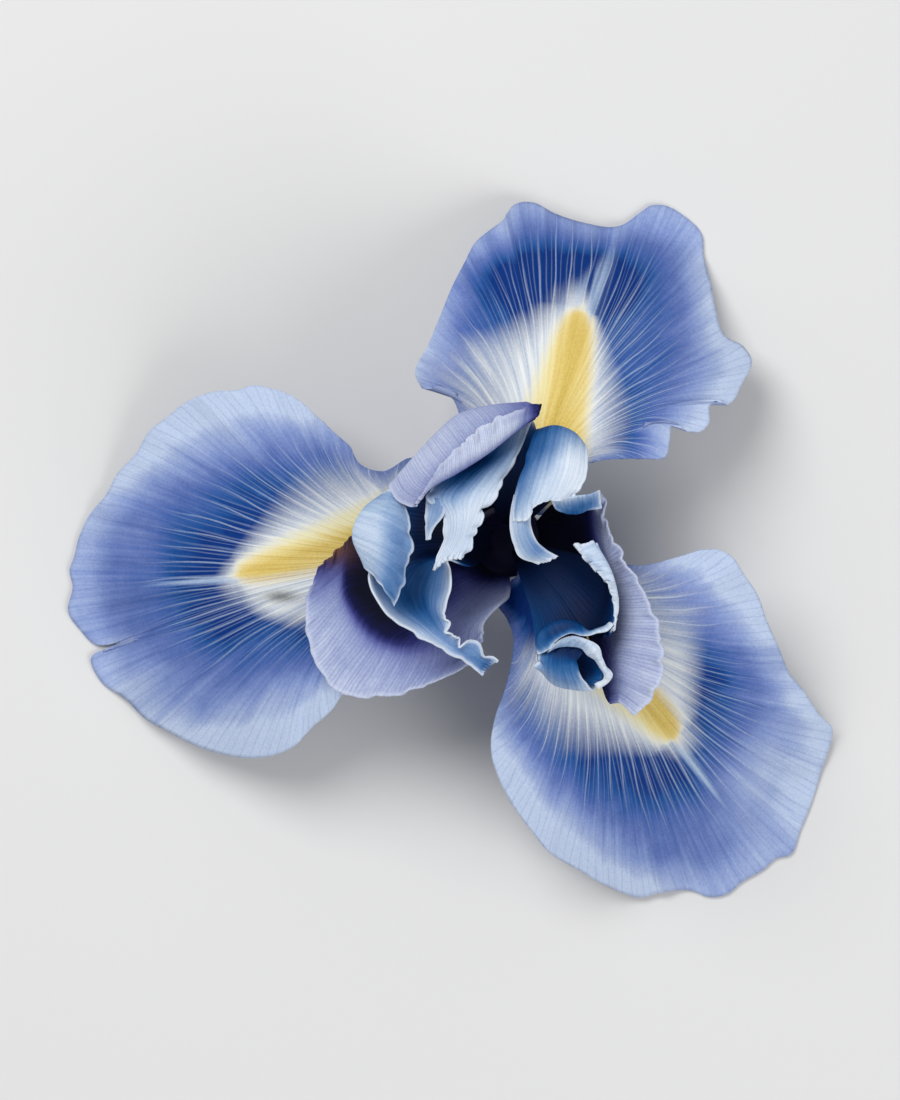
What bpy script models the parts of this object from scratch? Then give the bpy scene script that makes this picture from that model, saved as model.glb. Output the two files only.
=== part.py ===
"""Iris flower, as picked: three falls, three standards, three style arms, three stamens, a short cut stalk.

The flower lies face up on the drooping ends of its three falls, with the cut stalk under its centre.
Metres, +Z up. Lengths named *_MM are millimetres measured from the flower's own axis.
"""

import math

import bmesh
import bpy
import numpy as np
from mathutils import Matrix

MM = 0.001
AXIS_MM = (8.9, 1.65)  # where the flower's axis stands in the part's frame
PETAL_MM = 0.8  # thickness of falls and standards
STYLE_MM = 0.8  # thickness of the style arms

BASE_Z_MM = 18.6  # foot of the falls, just clear of the tube
BASE_RADIUS_MM = 5.6
BASE_HALF_ANGLE = math.radians(23)

# Height of a fall's midline against the share of its reach.
FALL_ARCH_MM = [
    (0.06, 18.2), (0.11, 20), (0.2, 22.6), (0.28, 24.2), (0.39, 24.2), (0.56, 20.2), (0.77, 10.6), (1, -2.6),
]
SIDE_DROOP = 0.006  # how much a fall sinks towards its two sides, per millimetre
RUFFLE_MM = 0.9
RUFFLES = 5
FLAT_MM = 1.0  # how gently the tips flatten where they meet the table

# Height and radius at each ring of the two turned bodies on the axis.
PEDICEL_RINGS_MM = [(0.2, 2.1), (1.5, 2.2), (2.8, 2.3)]
OVARY_CENTRE_MM = 7.8
OVARY_HALF_HEIGHT_MM = 4.7
OVARY_RADIUS_MM = 3.8
OVARY_RIB = 0.08
TUBE_RINGS_MM = [(12.8, 2.2), (13.8, 2.5), (15.2, 3.6), (16.6, 5.8), (17.1, 6.2), (17.4, 6.0)]

# Reach is how far from the axis the tip comes down to the table. Each outline runs anticlockwise round
# the tip, from one foot of the petal to the other.
FALLS = {
    "fall_left": {
        "heading": 190,
        "reach": 71,
        "outline": [
            (-8, 4.2), (-11, 9), (-15, 13.5), (-20, 11), (-24, 12.8), (-25.2, 15), (-30.5, 20),
            (-37.5, 24.4),
            (-43, 24.6), (-52, 22.3), (-60, 14.3), (-65.2, 7.3), (-69.8, 0), (-71.3, -9), (-67.5, -18.5),
            (-62, -26), (-52, -33), (-42.5, -35.4), (-34, -33.3), (-28.5, -28), (-23, -20), (-15, -12),
            (-8.5, -5.5),
        ],
    },
    "fall_right": {
        "heading": 314,
        "reach": 67,
        "outline": [
            (-0.2, -8.5), (-1.5, -10.5), (0.9, -14.5), (0.8, -20), (-1.7, -29), (-1.4, -37.5), (4.5, -47.5),
            (12.5, -54), (22, -58.3), (31.7, -57.9), (39, -56), (46.5, -51.8), (51.3, -42.5), (53.6, -32.5),
            (46.5, -22), (42.5, -13), (38.3, -5), (32.5, -1.7), (27.5, -3), (19.5, -4), (13, -3.4), (8, -3),
        ],
    },
    "fall_upper": {
        "heading": 67,
        "reach": 59,
        "outline": [
            (6.2, 5.4), (9.5, 7.5), (13.5, 12), (20, 13.2), (26, 13.7), (26.8, 18.5), (32, 18.2),
            (34, 22.5),
            (39.5, 28.5), (35.5, 34.5), (33, 45), (30.5, 52.5), (25.5, 54.8), (19.5, 51.8), (10, 52.8),
            (3.5, 55.2), (-3, 50), (-10.3, 36.5), (-14.3, 26), (-8.5, 23), (-6.5, 17), (-3.5, 10.5),
            (-0.6, 7.0),
        ],
    },
}

# Rows of points from the foot of a petal to its free margin, each row running clockwise side first.
STANDARDS = {
    "standard_upper_left": [
        [(-2.0, 5.3, 18.4), (-3.6, 4.4, 18.4), (-4.9, 3.0, 18.4)],
        [(-2.2, 9.3, 24.5), (-5.8, 7.6, 24.5), (-9, 4.5, 24.5)],
        [(-1, 16.5, 31), (-5, 15.3, 31), (-11, 11, 31), (-14.5, 7, 31)],
        [(2.5, 21.3, 38), (-4, 20.6, 38), (-10.5, 16.5, 38), (-15, 11.8, 38), (-18.4, 8.5, 37)],
        [(4.2, 21.2, 42), (-1, 19.5, 43), (-8, 14.8, 43.5), (-13.5, 10, 43), (-17.4, 6.8, 41)],
        [(3, 19.3, 43.5), (-0.5, 16.5, 44.8), (-6, 12.2, 45.2), (-12.3, 8, 44.8), (-15, 5.2, 43)],
    ],
    "standard_right": [
        [(5.2, -0.8, 18.4), (5.45, 0.9, 18.4), (5.0, 2.4, 18.4)],
        [(9, -4, 24), (9.5, 0.5, 23.5), (9, 4, 24)],
        [(14, -14, 30), (13.2, -6, 29), (12.6, 0, 29), (12.5, 4, 29)],
        [(18, -24, 34), (17.2, -15, 33.5), (16, -6, 32.5), (14, 2.5, 31.5)],
        [(20.5, -28, 37), (24.8, -20.5, 37.5), (22.8, -9.5, 37), (18, -1.2, 36), (13.5, 4.2, 34)],
    ],
    "standard_lower_left": [
        [(-3.3, -4.4, 18.4), (-1.8, -5.2, 18.4), (-0.2, -5.5, 18.4)],
        [(-9, -6.5, 24.3), (-6, -8.3, 23.6), (-2.3, -8.6, 24.3)],
        [(-18, -6.5, 27.5), (-14, -12, 26.8), (-9, -13.5, 26.8), (-3.8, -12.8, 27.5)],
        [(-25.5, -1, 28), (-27.5, -10, 27.6), (-23, -19.5, 27), (-13, -19.5, 27.2), (-4.6, -17.8, 28)],
        [(-28.5, -3, 28), (-32, -11.5, 27.4), (-28, -24.3, 26.4), (-17, -25.2, 26.8), (-7, -20.6, 28)],
    ],
}

# A style arm is two half strips that share their middle line up to the split, then end in two crest lobes.
# Rows run from the foot to the lobes' ends; the clockwise half runs inwards, the other half outwards.
STYLE_SPLIT_ROW = 3
STYLE_ARMS = {
    "style_arm_left": {
        "clockwise": [
            [(-1.6, 1.6, 18.25), (-2.1, 0.7, 18.25), (-2.3, -0.3, 18.25)],
            [(-6, 3.6, 27), (-6.5, 1.5, 27), (-6.5, -0.6, 27)],
            [(-12, 6, 32.5), (-13, 2.5, 32.5), (-13, -1.5, 32.5)],
            [(-16.6, 6.0, 34.2), (-19, 2.5, 35.5), (-19.5, -2.5, 36)],
            [(-19.8, 6.4, 36.2), (-24.1, 1.5, 38.6), (-22.4, -4.2, 38.5)],
            [(-18.9, 6.4, 37.4), (-20, 1, 41.2), (-19.7, -6.5, 41)],
            [(-17.6, 5.8, 37), (-15.3, 0.5, 40), (-17.6, -10.2, 40)],
        ],
        "anticlockwise": [
            [(-2.3, -0.3, 18.25), (-2.2, -1.1, 18.25), (-1.9, -1.8, 18.25)],
            [(-6.5, -0.6, 27), (-6, -2.6, 27), (-5.2, -4.2, 27.6)],
            [(-13, -1.5, 32.5), (-11.6, -5, 32.2), (-9.4, -6.5, 34.5)],
            [(-19.5, -2.5, 36), (-15, -8.8, 34.6), (-9.6, -12, 36)],
            [(-21.6, -6, 38.2), (-17, -12.6, 37.4), (-8.2, -16.2, 37.8)],
            [(-21.2, -7.4, 38.9), (-15.6, -13.9, 38.5), (-6.2, -18.5, 38.4)],
            [(-20.6, -9, 39.3), (-14, -15, 39.2), (-4, -20.4, 38.8)],
        ],
    },
    "style_arm_right": {
        "clockwise": [
            [(1.1, -2.1, 18.25), (1.5, -1.7, 18.25), (1.8, -1.3, 18.25)],
            [(2.2, -5.6, 26.4), (3.4, -5.0, 26.4), (4.5, -4.1, 26.4)],
            [(4.6, -12, 31), (6.6, -11, 31), (8.8, -9, 31)],
            [(5.2, -16.6, 35), (8, -15.2, 34.6), (11.5, -13, 34)],
            [(5.2, -18.2, 38), (8.8, -15.2, 38.6), (13.6, -15.4, 38)],
            [(6.8, -21.5, 37.5), (10.5, -19.8, 39), (15.3, -18.2, 37.8)],
            [(10, -23.2, 36), (13.5, -23.4, 36.4), (16.6, -21.3, 36)],
        ],
        "anticlockwise": [
            [(1.8, -1.3, 18.25), (2.1, -0.8, 18.25), (2.3, -0.2, 18.25)],
            [(4.5, -4.1, 26.4), (5.8, -2.7, 26.4), (6.9, -1.2, 26.8)],
            [(8.8, -9, 31), (11.3, -6.5, 31), (12, -2.5, 32)],
            [(11.5, -13, 34), (14.4, -9, 34.6), (14.2, -3.4, 35.2)],
            [(15.8, -14, 37), (17, -9.5, 37.6), (14.4, -1.6, 38)],
            [(16.2, -14.2, 38.3), (16.9, -9.2, 38.9), (13.3, -1.1, 39)],
            [(16.2, -14.4, 39.5), (16.6, -9, 40), (12, -0.6, 39.8)],
        ],
    },
    "style_arm_upper": {
        "clockwise": [
            [(2.0, 1.6, 18.25), (1.5, 2.0, 18.25), (0.9, 2.3, 18.25)],
            [(5.0, 4.0, 27), (3.7, 5.0, 27), (2.0, 5.4, 27)],
            [(9.5, 8.5, 34), (7, 10.2, 34), (4, 11, 34)],
            [(12, 12.5, 39), (9, 15.2, 39), (5, 16, 39)],
            [(12.8, 15, 42), (9, 17.8, 42), (5.2, 17.2, 42)],
            [(12.6, 12, 44.3), (8.5, 13.5, 44.6), (4.2, 14, 44.3)],
            [(12, 8, 45), (7, 8.5, 45.6), (2.3, 9, 45)],
            [(5.2, 4.8, 44.6), (3.2, 4.5, 45), (1, 4.2, 44.6)],
            [(7.3, -2.6, 43.6), (4.5, -2.3, 44), (1.9, -1.5, 43.6)],
        ],
        "anticlockwise": [
            [(0.9, 2.3, 18.25), (0.3, 2.5, 18.25), (-0.4, 2.6, 18.25)],
            [(2.0, 5.4, 27), (0.2, 5.4, 27), (-1.8, 5.0, 27)],
            [(4, 11, 34), (0.5, 10.6, 34), (-3, 9.5, 34)],
            [(5, 16, 38.4), (1, 15.6, 38), (-3, 14, 37.6)],
            [(4.3, 18.8, 40.6), (1, 17.3, 40.6), (-2.7, 15.2, 40.2)],
            [(2.7, 15.2, 41.6), (-1, 13.2, 41.6), (-5.5, 12, 41.4)],
            [(0, 9.5, 41.8), (-4, 9, 42), (-9.6, 9, 41.8)],
            [(-2.8, 4.5, 41.6), (-6, 4, 42), (-12, 3.5, 41.6)],
            [(-5.8, -2.8, 41), (-8.5, -3.3, 41.2), (-10.8, -4.6, 41)],
        ],
    },
}

STAMEN_HEADINGS = {"left": 190, "upper": 67, "right": 314}
FILAMENT_PATH_MM = [(4.2, 18.05), (5.8, 21.2), (8.0, 24.6), (11.2, 26.6)]  # out from the axis, up
FILAMENT_RADIUS_MM = 0.5
ANTHER_CENTRE_MM = (15.9, 27.7)
ANTHER_HALF_LENGTH_MM = 4.1
ANTHER_RADIUS_MM = 0.8
ANTHER_RISE = math.radians(12)

COLOURS = {
    "fall_petal": (0.13, 0.20, 0.50),
    "standard_petal": (0.34, 0.38, 0.62),
    "style_petal": (0.45, 0.58, 0.75),
    "stamen_filament": (0.62, 0.66, 0.78),
    "anther_pollen": (0.72, 0.62, 0.36),
    "perianth_green": (0.33, 0.42, 0.36),
    "green_stalk": (0.16, 0.27, 0.09),
}


def spline(points, knots, where):
    """A smooth curve through points that sit at the given knots, read off at other places."""
    points = np.asarray(points, dtype=float)
    slopes = np.gradient(points, knots, axis=0)
    i = np.clip(np.searchsorted(knots, where, side="right") - 1, 0, len(points) - 2)
    span = (knots[i + 1] - knots[i])[:, None]
    s = (where - knots[i])[:, None] / span
    from_last = points[i] * (2 * s**3 - 3 * s**2 + 1) + slopes[i] * span * (s**3 - 2 * s**2 + s)
    return from_last + points[i + 1] * (3 * s**2 - 2 * s**3) + slopes[i + 1] * span * (s**3 - s**2)


def evenly(points, count):
    """Points evenly spread along a smooth curve through the given ones."""
    steps = np.linalg.norm(np.diff(np.asarray(points, dtype=float), axis=0), axis=1)
    knots = np.concatenate([[0], np.cumsum(steps)])
    return spline(points, knots, np.linspace(0, knots[-1], count))


def loft(rows, steps, columns):
    """A smooth net through rows of points, with the given number of steps from each row to the next."""
    even = np.array([evenly(row, columns) for row in rows])
    knots = np.arange(len(rows), dtype=float)
    where = np.linspace(0, len(rows) - 1, steps * (len(rows) - 1) + 1)
    return np.stack([spline(even[:, j], knots, where) for j in range(columns)], axis=1)


def directions(heading):
    """Unit vectors along a heading and to its left."""
    angle = math.radians(heading)
    return np.array([math.cos(angle), math.sin(angle)]), np.array([-math.sin(angle), math.cos(angle)])


def fan(heading, outline, rows, columns):
    """Plan of a petal whose veins leave a narrow foot along the heading and spread to its outline."""
    ahead, _ = directions(heading)
    middle = math.radians(heading)
    turns = np.linspace(middle - BASE_HALF_ANGLE, middle + BASE_HALF_ANGLE, columns)
    foot = BASE_RADIUS_MM * np.stack([np.cos(turns), np.sin(turns)], axis=1)
    rim = evenly([tuple(foot[0])] + outline + [tuple(foot[-1])], columns + 6)[3:-3]
    along = np.gradient(rim, axis=0)
    outward = np.stack([along[:, 1], -along[:, 0]], axis=1)
    outward /= np.linalg.norm(outward, axis=1)[:, None]
    reach = np.linalg.norm(rim - foot, axis=1)[:, None]
    lean = 0.65 * outward + 0.35 * ahead
    leave = foot + 0.38 * reach * ahead
    arrive = rim - 0.30 * reach * lean / np.linalg.norm(lean, axis=1)[:, None]
    t = np.linspace(0, 1, rows)[:, None, None]
    return foot * (1 - t) ** 3 + 3 * leave * t * (1 - t) ** 2 + 3 * arrive * t**2 * (1 - t) + rim * t**3


def fall_net(heading, reach, outline, rows, columns):
    """A fall: the plan of its veins, lifted over an arch that comes down to the table at the tip."""
    plan = fan(heading, outline, rows, columns)
    ahead, left = directions(heading)
    along, aside = plan @ ahead, plan @ left
    arch = np.array(FALL_ARCH_MM)
    share = np.linspace(arch[0, 0], arch[-1, 0], 200)
    height = spline(arch[:, 1:], arch[:, 0], share)[:, 0]
    z = np.interp(along / reach, share, height)
    z -= SIDE_DROOP * aside**2 * np.clip((along - 8) / 25, 0, 1)
    u = np.linspace(0, 1, rows)[:, None]
    v = np.linspace(0, 1, columns)[None, :]
    z += RUFFLE_MM * u**3 * np.sin(math.tau * RUFFLES * v) * np.sin(math.pi * v)
    z = PETAL_MM + 0.5 * ((z - PETAL_MM) + np.sqrt((z - PETAL_MM) ** 2 + FLAT_MM**2))
    z -= u**2 * (z.min() - PETAL_MM)
    z[0] = BASE_Z_MM
    return np.concatenate([plan, z[..., None]], axis=2)


def placed(point):
    return ((point[0] + AXIS_MM[0]) * MM, (point[1] + AXIS_MM[1]) * MM, point[2] * MM)


def clear_scene():
    for obj in list(bpy.data.objects):
        bpy.data.objects.remove(obj, do_unlink=True)


def material(name):
    mat = bpy.data.materials.get(name) or bpy.data.materials.new(name)
    mat.use_nodes = True
    shader = mat.node_tree.nodes["Principled BSDF"]
    shader.inputs["Base Color"].default_value = (*COLOURS[name], 1)
    shader.inputs["Roughness"].default_value = 0.55
    return mat


def add_object(name, data, slot, collection):
    data.materials.append(material(slot))
    obj = bpy.data.objects.new(name, data)
    collection.objects.link(obj)
    return obj


def mesh_object(name, bm, slot, collection):
    mesh = bpy.data.meshes.new(name)
    bm.to_mesh(mesh)
    bm.free()
    mesh.shade_smooth()
    return add_object(name, mesh, slot, collection)


def sheet_object(name, net, slot, thickness, collection, slit_from=None):
    """A thin petal: a grid laid on a net of points, smoothed, then given thickness downwards.

    With slit_from, the grid is slit along its middle column beyond that row, where the net has two of them.
    """
    rows, columns = len(net), len(net[0]) - (slit_from is not None)
    middle = columns // 2
    bm = bmesh.new()
    bmesh.ops.create_grid(bm, x_segments=rows - 1, y_segments=columns - 1, size=0.5)
    for vert in bm.verts:
        vert.co = (round((vert.co.x + 0.5) * (rows - 1)), round((vert.co.y + 0.5) * (columns - 1)), 0)
    if slit_from is not None:
        on_slit = [e for e in bm.edges if all(v.co.y == middle and v.co.x >= slit_from for v in e.verts)]
        bmesh.ops.split_edges(bm, edges=on_slit)
    for vert in bm.verts:
        row, column = int(vert.co.x), int(vert.co.y)
        if slit_from is not None:
            column += column > middle or any(f.calc_center_median().y > middle for f in vert.link_faces[:1])
        vert.co.z = column
    for vert in bm.verts:
        vert.co = placed(net[int(vert.co.x)][int(vert.co.z)])
    obj = mesh_object(name, bm, slot, collection)
    smooth = obj.modifiers.new("smooth", "SUBSURF")
    smooth.levels = 1
    smooth.render_levels = 1
    shell = obj.modifiers.new("thickness", "SOLIDIFY")
    shell.thickness = thickness * MM
    shell.offset = -1
    return obj


def style_arm_net(clockwise, anticlockwise):
    """Two half nets side by side, sharing their middle line up to the row where the arm parts in two."""
    inner = loft(clockwise, 1, 4)
    outer = loft(anticlockwise, 1, 4)
    outer[: STYLE_SPLIT_ROW + 1, 0] = inner[: STYLE_SPLIT_ROW + 1, -1]
    return np.concatenate([inner, outer], axis=1)


def turned_object(name, rings, slot, collection):
    """A round body on the flower's axis: its profile, from the top down, is spun by a Screw modifier."""
    bm = bmesh.new()
    profile = [(0, rings[-1][0])] + [(r, z) for z, r in reversed(rings)] + [(0, rings[0][0])]
    verts = [bm.verts.new((r * MM, 0, z * MM)) for r, z in profile]
    for upper, lower in zip(verts, verts[1:]):
        bm.edges.new((upper, lower))
    obj = mesh_object(name, bm, slot, collection)
    obj.location = (AXIS_MM[0] * MM, AXIS_MM[1] * MM, 0)
    spin = obj.modifiers.new("spin", "SCREW")
    spin.steps = 20
    spin.render_steps = 20
    spin.use_merge_vertices = True
    spin.merge_threshold = 0.00005
    return obj


def ovary_object(collection):
    """The seed capsule: a ball drawn out along the axis, with three rounded ribs."""
    bm = bmesh.new()
    bmesh.ops.create_uvsphere(bm, u_segments=18, v_segments=10, radius=1)
    for vert in bm.verts:
        turn = math.atan2(vert.co.y, vert.co.x)
        rib = 1 + OVARY_RIB * math.cos(3 * turn)
        vert.co.x *= OVARY_RADIUS_MM * rib * MM
        vert.co.y *= OVARY_RADIUS_MM * rib * MM
        vert.co.z *= OVARY_HALF_HEIGHT_MM * MM
    obj = mesh_object("ovary", bm, "green_stalk", collection)
    obj.location = (AXIS_MM[0] * MM, AXIS_MM[1] * MM, OVARY_CENTRE_MM * MM)
    return obj


def filament_object(name, heading, collection):
    """The thread of a stamen, leaning out along a heading."""
    ahead, _ = directions(heading)
    curve = bpy.data.curves.new(name, "CURVE")
    curve.dimensions = "3D"
    curve.bevel_depth = FILAMENT_RADIUS_MM * MM
    curve.bevel_resolution = 1
    curve.use_fill_caps = True
    thread = curve.splines.new("POLY")
    points = evenly([(*(ahead * s), z) for s, z in FILAMENT_PATH_MM], 7)
    thread.points.add(len(points) - 1)
    for knot, point in zip(thread.points, points):
        knot.co = (*placed(point), 1)
    return add_object(name, curve, "stamen_filament", collection)


def anther_object(name, heading, collection):
    """The pollen sac at the end of a filament: a ball drawn out along the heading and tipped upwards."""
    ahead, _ = directions(heading)
    bm = bmesh.new()
    bmesh.ops.create_uvsphere(bm, u_segments=10, v_segments=8, radius=1)
    bmesh.ops.rotate(bm, verts=bm.verts, matrix=Matrix.Rotation(math.pi / 2, 3, "Y"))
    for vert in bm.verts:
        vert.co.x *= ANTHER_HALF_LENGTH_MM * MM
        vert.co.y *= ANTHER_RADIUS_MM * MM
        vert.co.z *= ANTHER_RADIUS_MM * MM
    obj = mesh_object(name, bm, "anther_pollen", collection)
    obj.location = placed((*(ahead * ANTHER_CENTRE_MM[0]), ANTHER_CENTRE_MM[1]))
    obj.rotation_euler = (0, -ANTHER_RISE, math.radians(heading))
    return obj


def build():
    clear_scene()
    flower = bpy.data.collections.new("iris_flower")
    bpy.context.scene.collection.children.link(flower)
    turned_object("pedicel", PEDICEL_RINGS_MM, "green_stalk", flower)
    ovary_object(flower)
    turned_object("perianth_tube", TUBE_RINGS_MM, "perianth_green", flower)
    for name, shape in FALLS.items():
        net = fall_net(shape["heading"], shape["reach"], shape["outline"], 7, 19)
        sheet_object(name, net, "fall_petal", PETAL_MM, flower)
    for name, rows in STANDARDS.items():
        sheet_object(name, loft(rows, 1, 7), "standard_petal", PETAL_MM, flower)
    for name, halves in STYLE_ARMS.items():
        net = style_arm_net(halves["clockwise"], halves["anticlockwise"])
        sheet_object(name, net, "style_petal", STYLE_MM, flower, slit_from=STYLE_SPLIT_ROW)
    for side, heading in STAMEN_HEADINGS.items():
        filament_object(f"filament_{side}", heading, flower)
        anther_object(f"anther_{side}", heading, flower)


build()
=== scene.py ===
# %% [markdown]
# # An iris flower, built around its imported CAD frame
# The frame holds eighteen plain solids: three falls, three standards, three style arms, three filaments
# with their anthers, the perianth tube, the ovary and the cut stalk. This lesson keeps them as the flower's
# skeleton and grows a fine petal over each one. Everything is in metres, +Z up, and the flower lies face up
# with its falls on the floor.

import math

import bpy
import numpy as np
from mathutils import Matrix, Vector


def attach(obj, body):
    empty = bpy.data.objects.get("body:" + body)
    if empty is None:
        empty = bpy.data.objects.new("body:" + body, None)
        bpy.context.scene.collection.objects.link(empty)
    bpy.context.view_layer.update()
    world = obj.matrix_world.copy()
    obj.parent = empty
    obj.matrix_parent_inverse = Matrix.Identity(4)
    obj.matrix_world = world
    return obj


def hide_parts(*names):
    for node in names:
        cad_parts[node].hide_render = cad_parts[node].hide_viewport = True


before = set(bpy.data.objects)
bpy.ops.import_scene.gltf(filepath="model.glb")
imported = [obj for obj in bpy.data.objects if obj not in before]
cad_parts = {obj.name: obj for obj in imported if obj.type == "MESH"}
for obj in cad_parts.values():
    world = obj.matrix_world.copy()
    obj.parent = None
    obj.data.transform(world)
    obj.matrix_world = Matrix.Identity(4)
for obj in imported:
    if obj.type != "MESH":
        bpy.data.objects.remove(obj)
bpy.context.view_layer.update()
MM = 0.001
AXIS_MM = np.array([8.9, 1.65])  # the flower's own axis; all points below are measured from it
print("CAD nodes:", len(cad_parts))

# %% [markdown]
# ## Smooth curves and nets
# A petal is a sheet, and a sheet is a net of points. Typing thousands of points would be hopeless, so a few
# rows of listed points are joined by smooth curves. A Hermite spline passes through every point it is
# given, which makes it easy to say exactly where a margin runs.


# %% Splines
def spline(points, knots, where):
    """A smooth curve through points that sit at the given knots, read off at other places."""
    points = np.asarray(points, dtype=float)
    knots = np.asarray(knots, dtype=float)
    slopes = np.gradient(points, knots, axis=0)
    i = np.clip(np.searchsorted(knots, where, side="right") - 1, 0, len(points) - 2)
    span = (knots[i + 1] - knots[i])[:, None]
    s = (where - knots[i])[:, None] / span
    near = points[i] * (2 * s**3 - 3 * s**2 + 1) + slopes[i] * span * (s**3 - 2 * s**2 + s)
    far = points[i + 1] * (3 * s**2 - 2 * s**3) + slopes[i + 1] * span * (s**3 - s**2)
    return near + far


def evenly(points, count):
    """Points evenly spread along a smooth curve through the given ones."""
    steps = np.linalg.norm(np.diff(np.asarray(points, dtype=float), axis=0), axis=1)
    knots = np.concatenate([[0], np.cumsum(steps)])
    return spline(points, knots, np.linspace(0, knots[-1], count))


print("half way along a smooth bump:", evenly([(0, 0), (1, 1), (2, 0)], 3)[1].tolist())

# %% Nets through rows
STEPS = 12  # net rows from one hand-placed row to the next


def loft(rows, columns):
    """A smooth net through rows of points."""
    even = np.array([evenly(row, columns) for row in rows])
    knots = np.arange(len(rows), dtype=float)
    where = np.linspace(0, len(rows) - 1, STEPS * (len(rows) - 1) + 1)
    return np.stack([spline(even[:, j], knots, where) for j in range(columns)], axis=1)


print("net through two rows:", loft([[(0, 0), (1, 0)], [(0, 1), (1, 1)]], 4).shape)


# %% Soft steps and uneven waves
def smoothstep(low, high, x):
    t = np.clip((x - low) / (high - low), 0, 1)
    return t * t * (3 - 2 * t)


def wavy(x, waves, seed):
    """An irregular wave between about -1 and 1: a few sines near the given count, with seeded phases."""
    rng = np.random.default_rng(seed)
    total = np.zeros_like(x)
    for share, weight in ((0.6, 0.5), (1.0, 1.0), (1.7, 0.6), (2.9, 0.3)):
        total += weight * np.sin(math.tau * (waves * share * x + rng.random()))
    return total / 1.6


print("a soft step, a quarter of the way up:", smoothstep(0, 1, 0.25))

# %% [markdown]
# ## From a net to a petal
# The net becomes one mesh. Each point also carries numbers that the materials will read: where it lies
# across and along the veins (a UV map), and any distance worth painting by, such as how far it is from the
# margin. Solidify then gives the sheet its thickness, and its second material slot paints the underside.


# %% Directions on a net
def unit(vectors):
    return vectors / (np.linalg.norm(vectors, axis=2)[..., None] + 1e-12)


def normals_of(net):
    return unit(np.cross(np.gradient(net[..., :3], axis=0), np.gradient(net[..., :3], axis=1)))


# %% Distances on a net
def margins(net):
    """How far each point is from the sheet's two sides and its far end, in millimetres along the net."""
    net = net[..., :3]
    step_u = np.linalg.norm(np.diff(net, axis=0), axis=2)
    to_end = np.concatenate([np.cumsum(step_u[::-1], axis=0)[::-1], np.zeros((1, net.shape[1]))])
    step_v = np.linalg.norm(np.diff(net, axis=1), axis=2)
    from_left = np.concatenate([np.zeros((net.shape[0], 1)), np.cumsum(step_v, axis=1)], axis=1)
    return from_left, from_left[:, -1:] - from_left, to_end


def rim_distance(net):
    """How far each point is from the sheet's nearest free margin, in millimetres."""
    from_left, from_right, to_end = margins(net)
    return np.minimum(to_end, np.minimum(from_left, from_right))


def vein_spread(net):
    """The width that the whole fan of veins has at each point, in millimetres."""
    return np.linalg.norm(np.gradient(net[..., :3], axis=1), axis=2) * (net.shape[1] - 1)


def patch(net, place, radii):
    """A soft round or oval patch on the petal's plan: 1 at its place, fading to 0."""
    (x, y), (wide, tall) = place, radii
    return np.exp(-(((net[..., 0] - x) / wide) ** 2) - ((net[..., 1] - y) / tall) ** 2)


# %% Make a mesh object
def placed(name, coords, faces, materials):
    """A smooth mesh object from points in millimetres round the flower's axis."""
    coords = np.array(coords)
    coords[:, :2] += AXIS_MM
    mesh = bpy.data.meshes.new(name)
    mesh.from_pydata((coords * MM).tolist(), [], faces)
    mesh.shade_smooth()
    for mat in materials:
        mesh.materials.append(mat)
    obj = bpy.data.objects.new(name, mesh)
    bpy.context.scene.collection.objects.link(obj)
    return obj


def quads_of(index):
    """Four-cornered faces between neighbouring rows and columns of point numbers."""
    corners = [index[:-1, :-1], index[1:, :-1], index[1:, 1:], index[:-1, 1:]]
    return np.stack(corners, axis=-1).reshape(-1, 4)


# %% Sheets
def sheet(name, nets, materials, thickness, fields):
    """One petal object from nets of points. fields holds, for each net, named numbers per point."""
    faces, uvs, extra = [], [], {}
    start = 0
    for net, values in zip(nets, fields):
        rows, columns = net.shape[:2]
        u = np.repeat(np.linspace(0, 1, rows), columns)
        v = np.tile(np.linspace(0, 1, columns), rows)
        uvs.append(np.stack([v, u], axis=1))
        faces.append(quads_of(start + np.arange(rows * columns).reshape(rows, columns)))
        for key, value in {"rim": rim_distance(net), **values}.items():
            extra.setdefault(key, []).append(np.asarray(value, dtype=float).ravel())
        start += rows * columns
    coords = np.concatenate([net[..., :3].reshape(-1, 3) for net in nets])
    obj = placed(name, coords, np.concatenate(faces).tolist(), materials)
    mesh = obj.data
    layer = mesh.uv_layers.new(name="veins")
    corner = np.empty(len(mesh.loops), dtype=np.int32)
    mesh.loops.foreach_get("vertex_index", corner)
    layer.uv.foreach_set("vector", np.concatenate(uvs)[corner].astype(np.float32).ravel())
    for key, values in extra.items():
        attribute = mesh.attributes.new(key, "FLOAT", "POINT")
        attribute.data.foreach_set("value", np.concatenate(values).astype(np.float32))
    shell = obj.modifiers.new("thickness", "SOLIDIFY")
    shell.thickness = thickness * MM
    shell.offset = -1.0  # the thickness goes under the net
    shell.material_offset = len(materials) - 1
    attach(obj, "root")
    print(f"{name}: {len(mesh.polygons)} faces before thickness")
    return obj


# %% [markdown]
# ## Material helpers
# Petal colours are painted by nodes. The two classes below wire a Principled shader step by step, so that
# each finish further down reads like a recipe: take a distance, disturb it with streaks that follow the
# veins, and look the result up in a colour ramp.


# %% Colours and sums
def paint(red, green, blue):
    """A colour picked as 0-255 screen values, turned into the linear values that shaders use."""
    channel = [c / 255 for c in (red, green, blue)]
    return tuple(c / 12.92 if c <= 0.04045 else ((c + 0.055) / 1.055) ** 2.4 for c in channel) + (1.0,)


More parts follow.
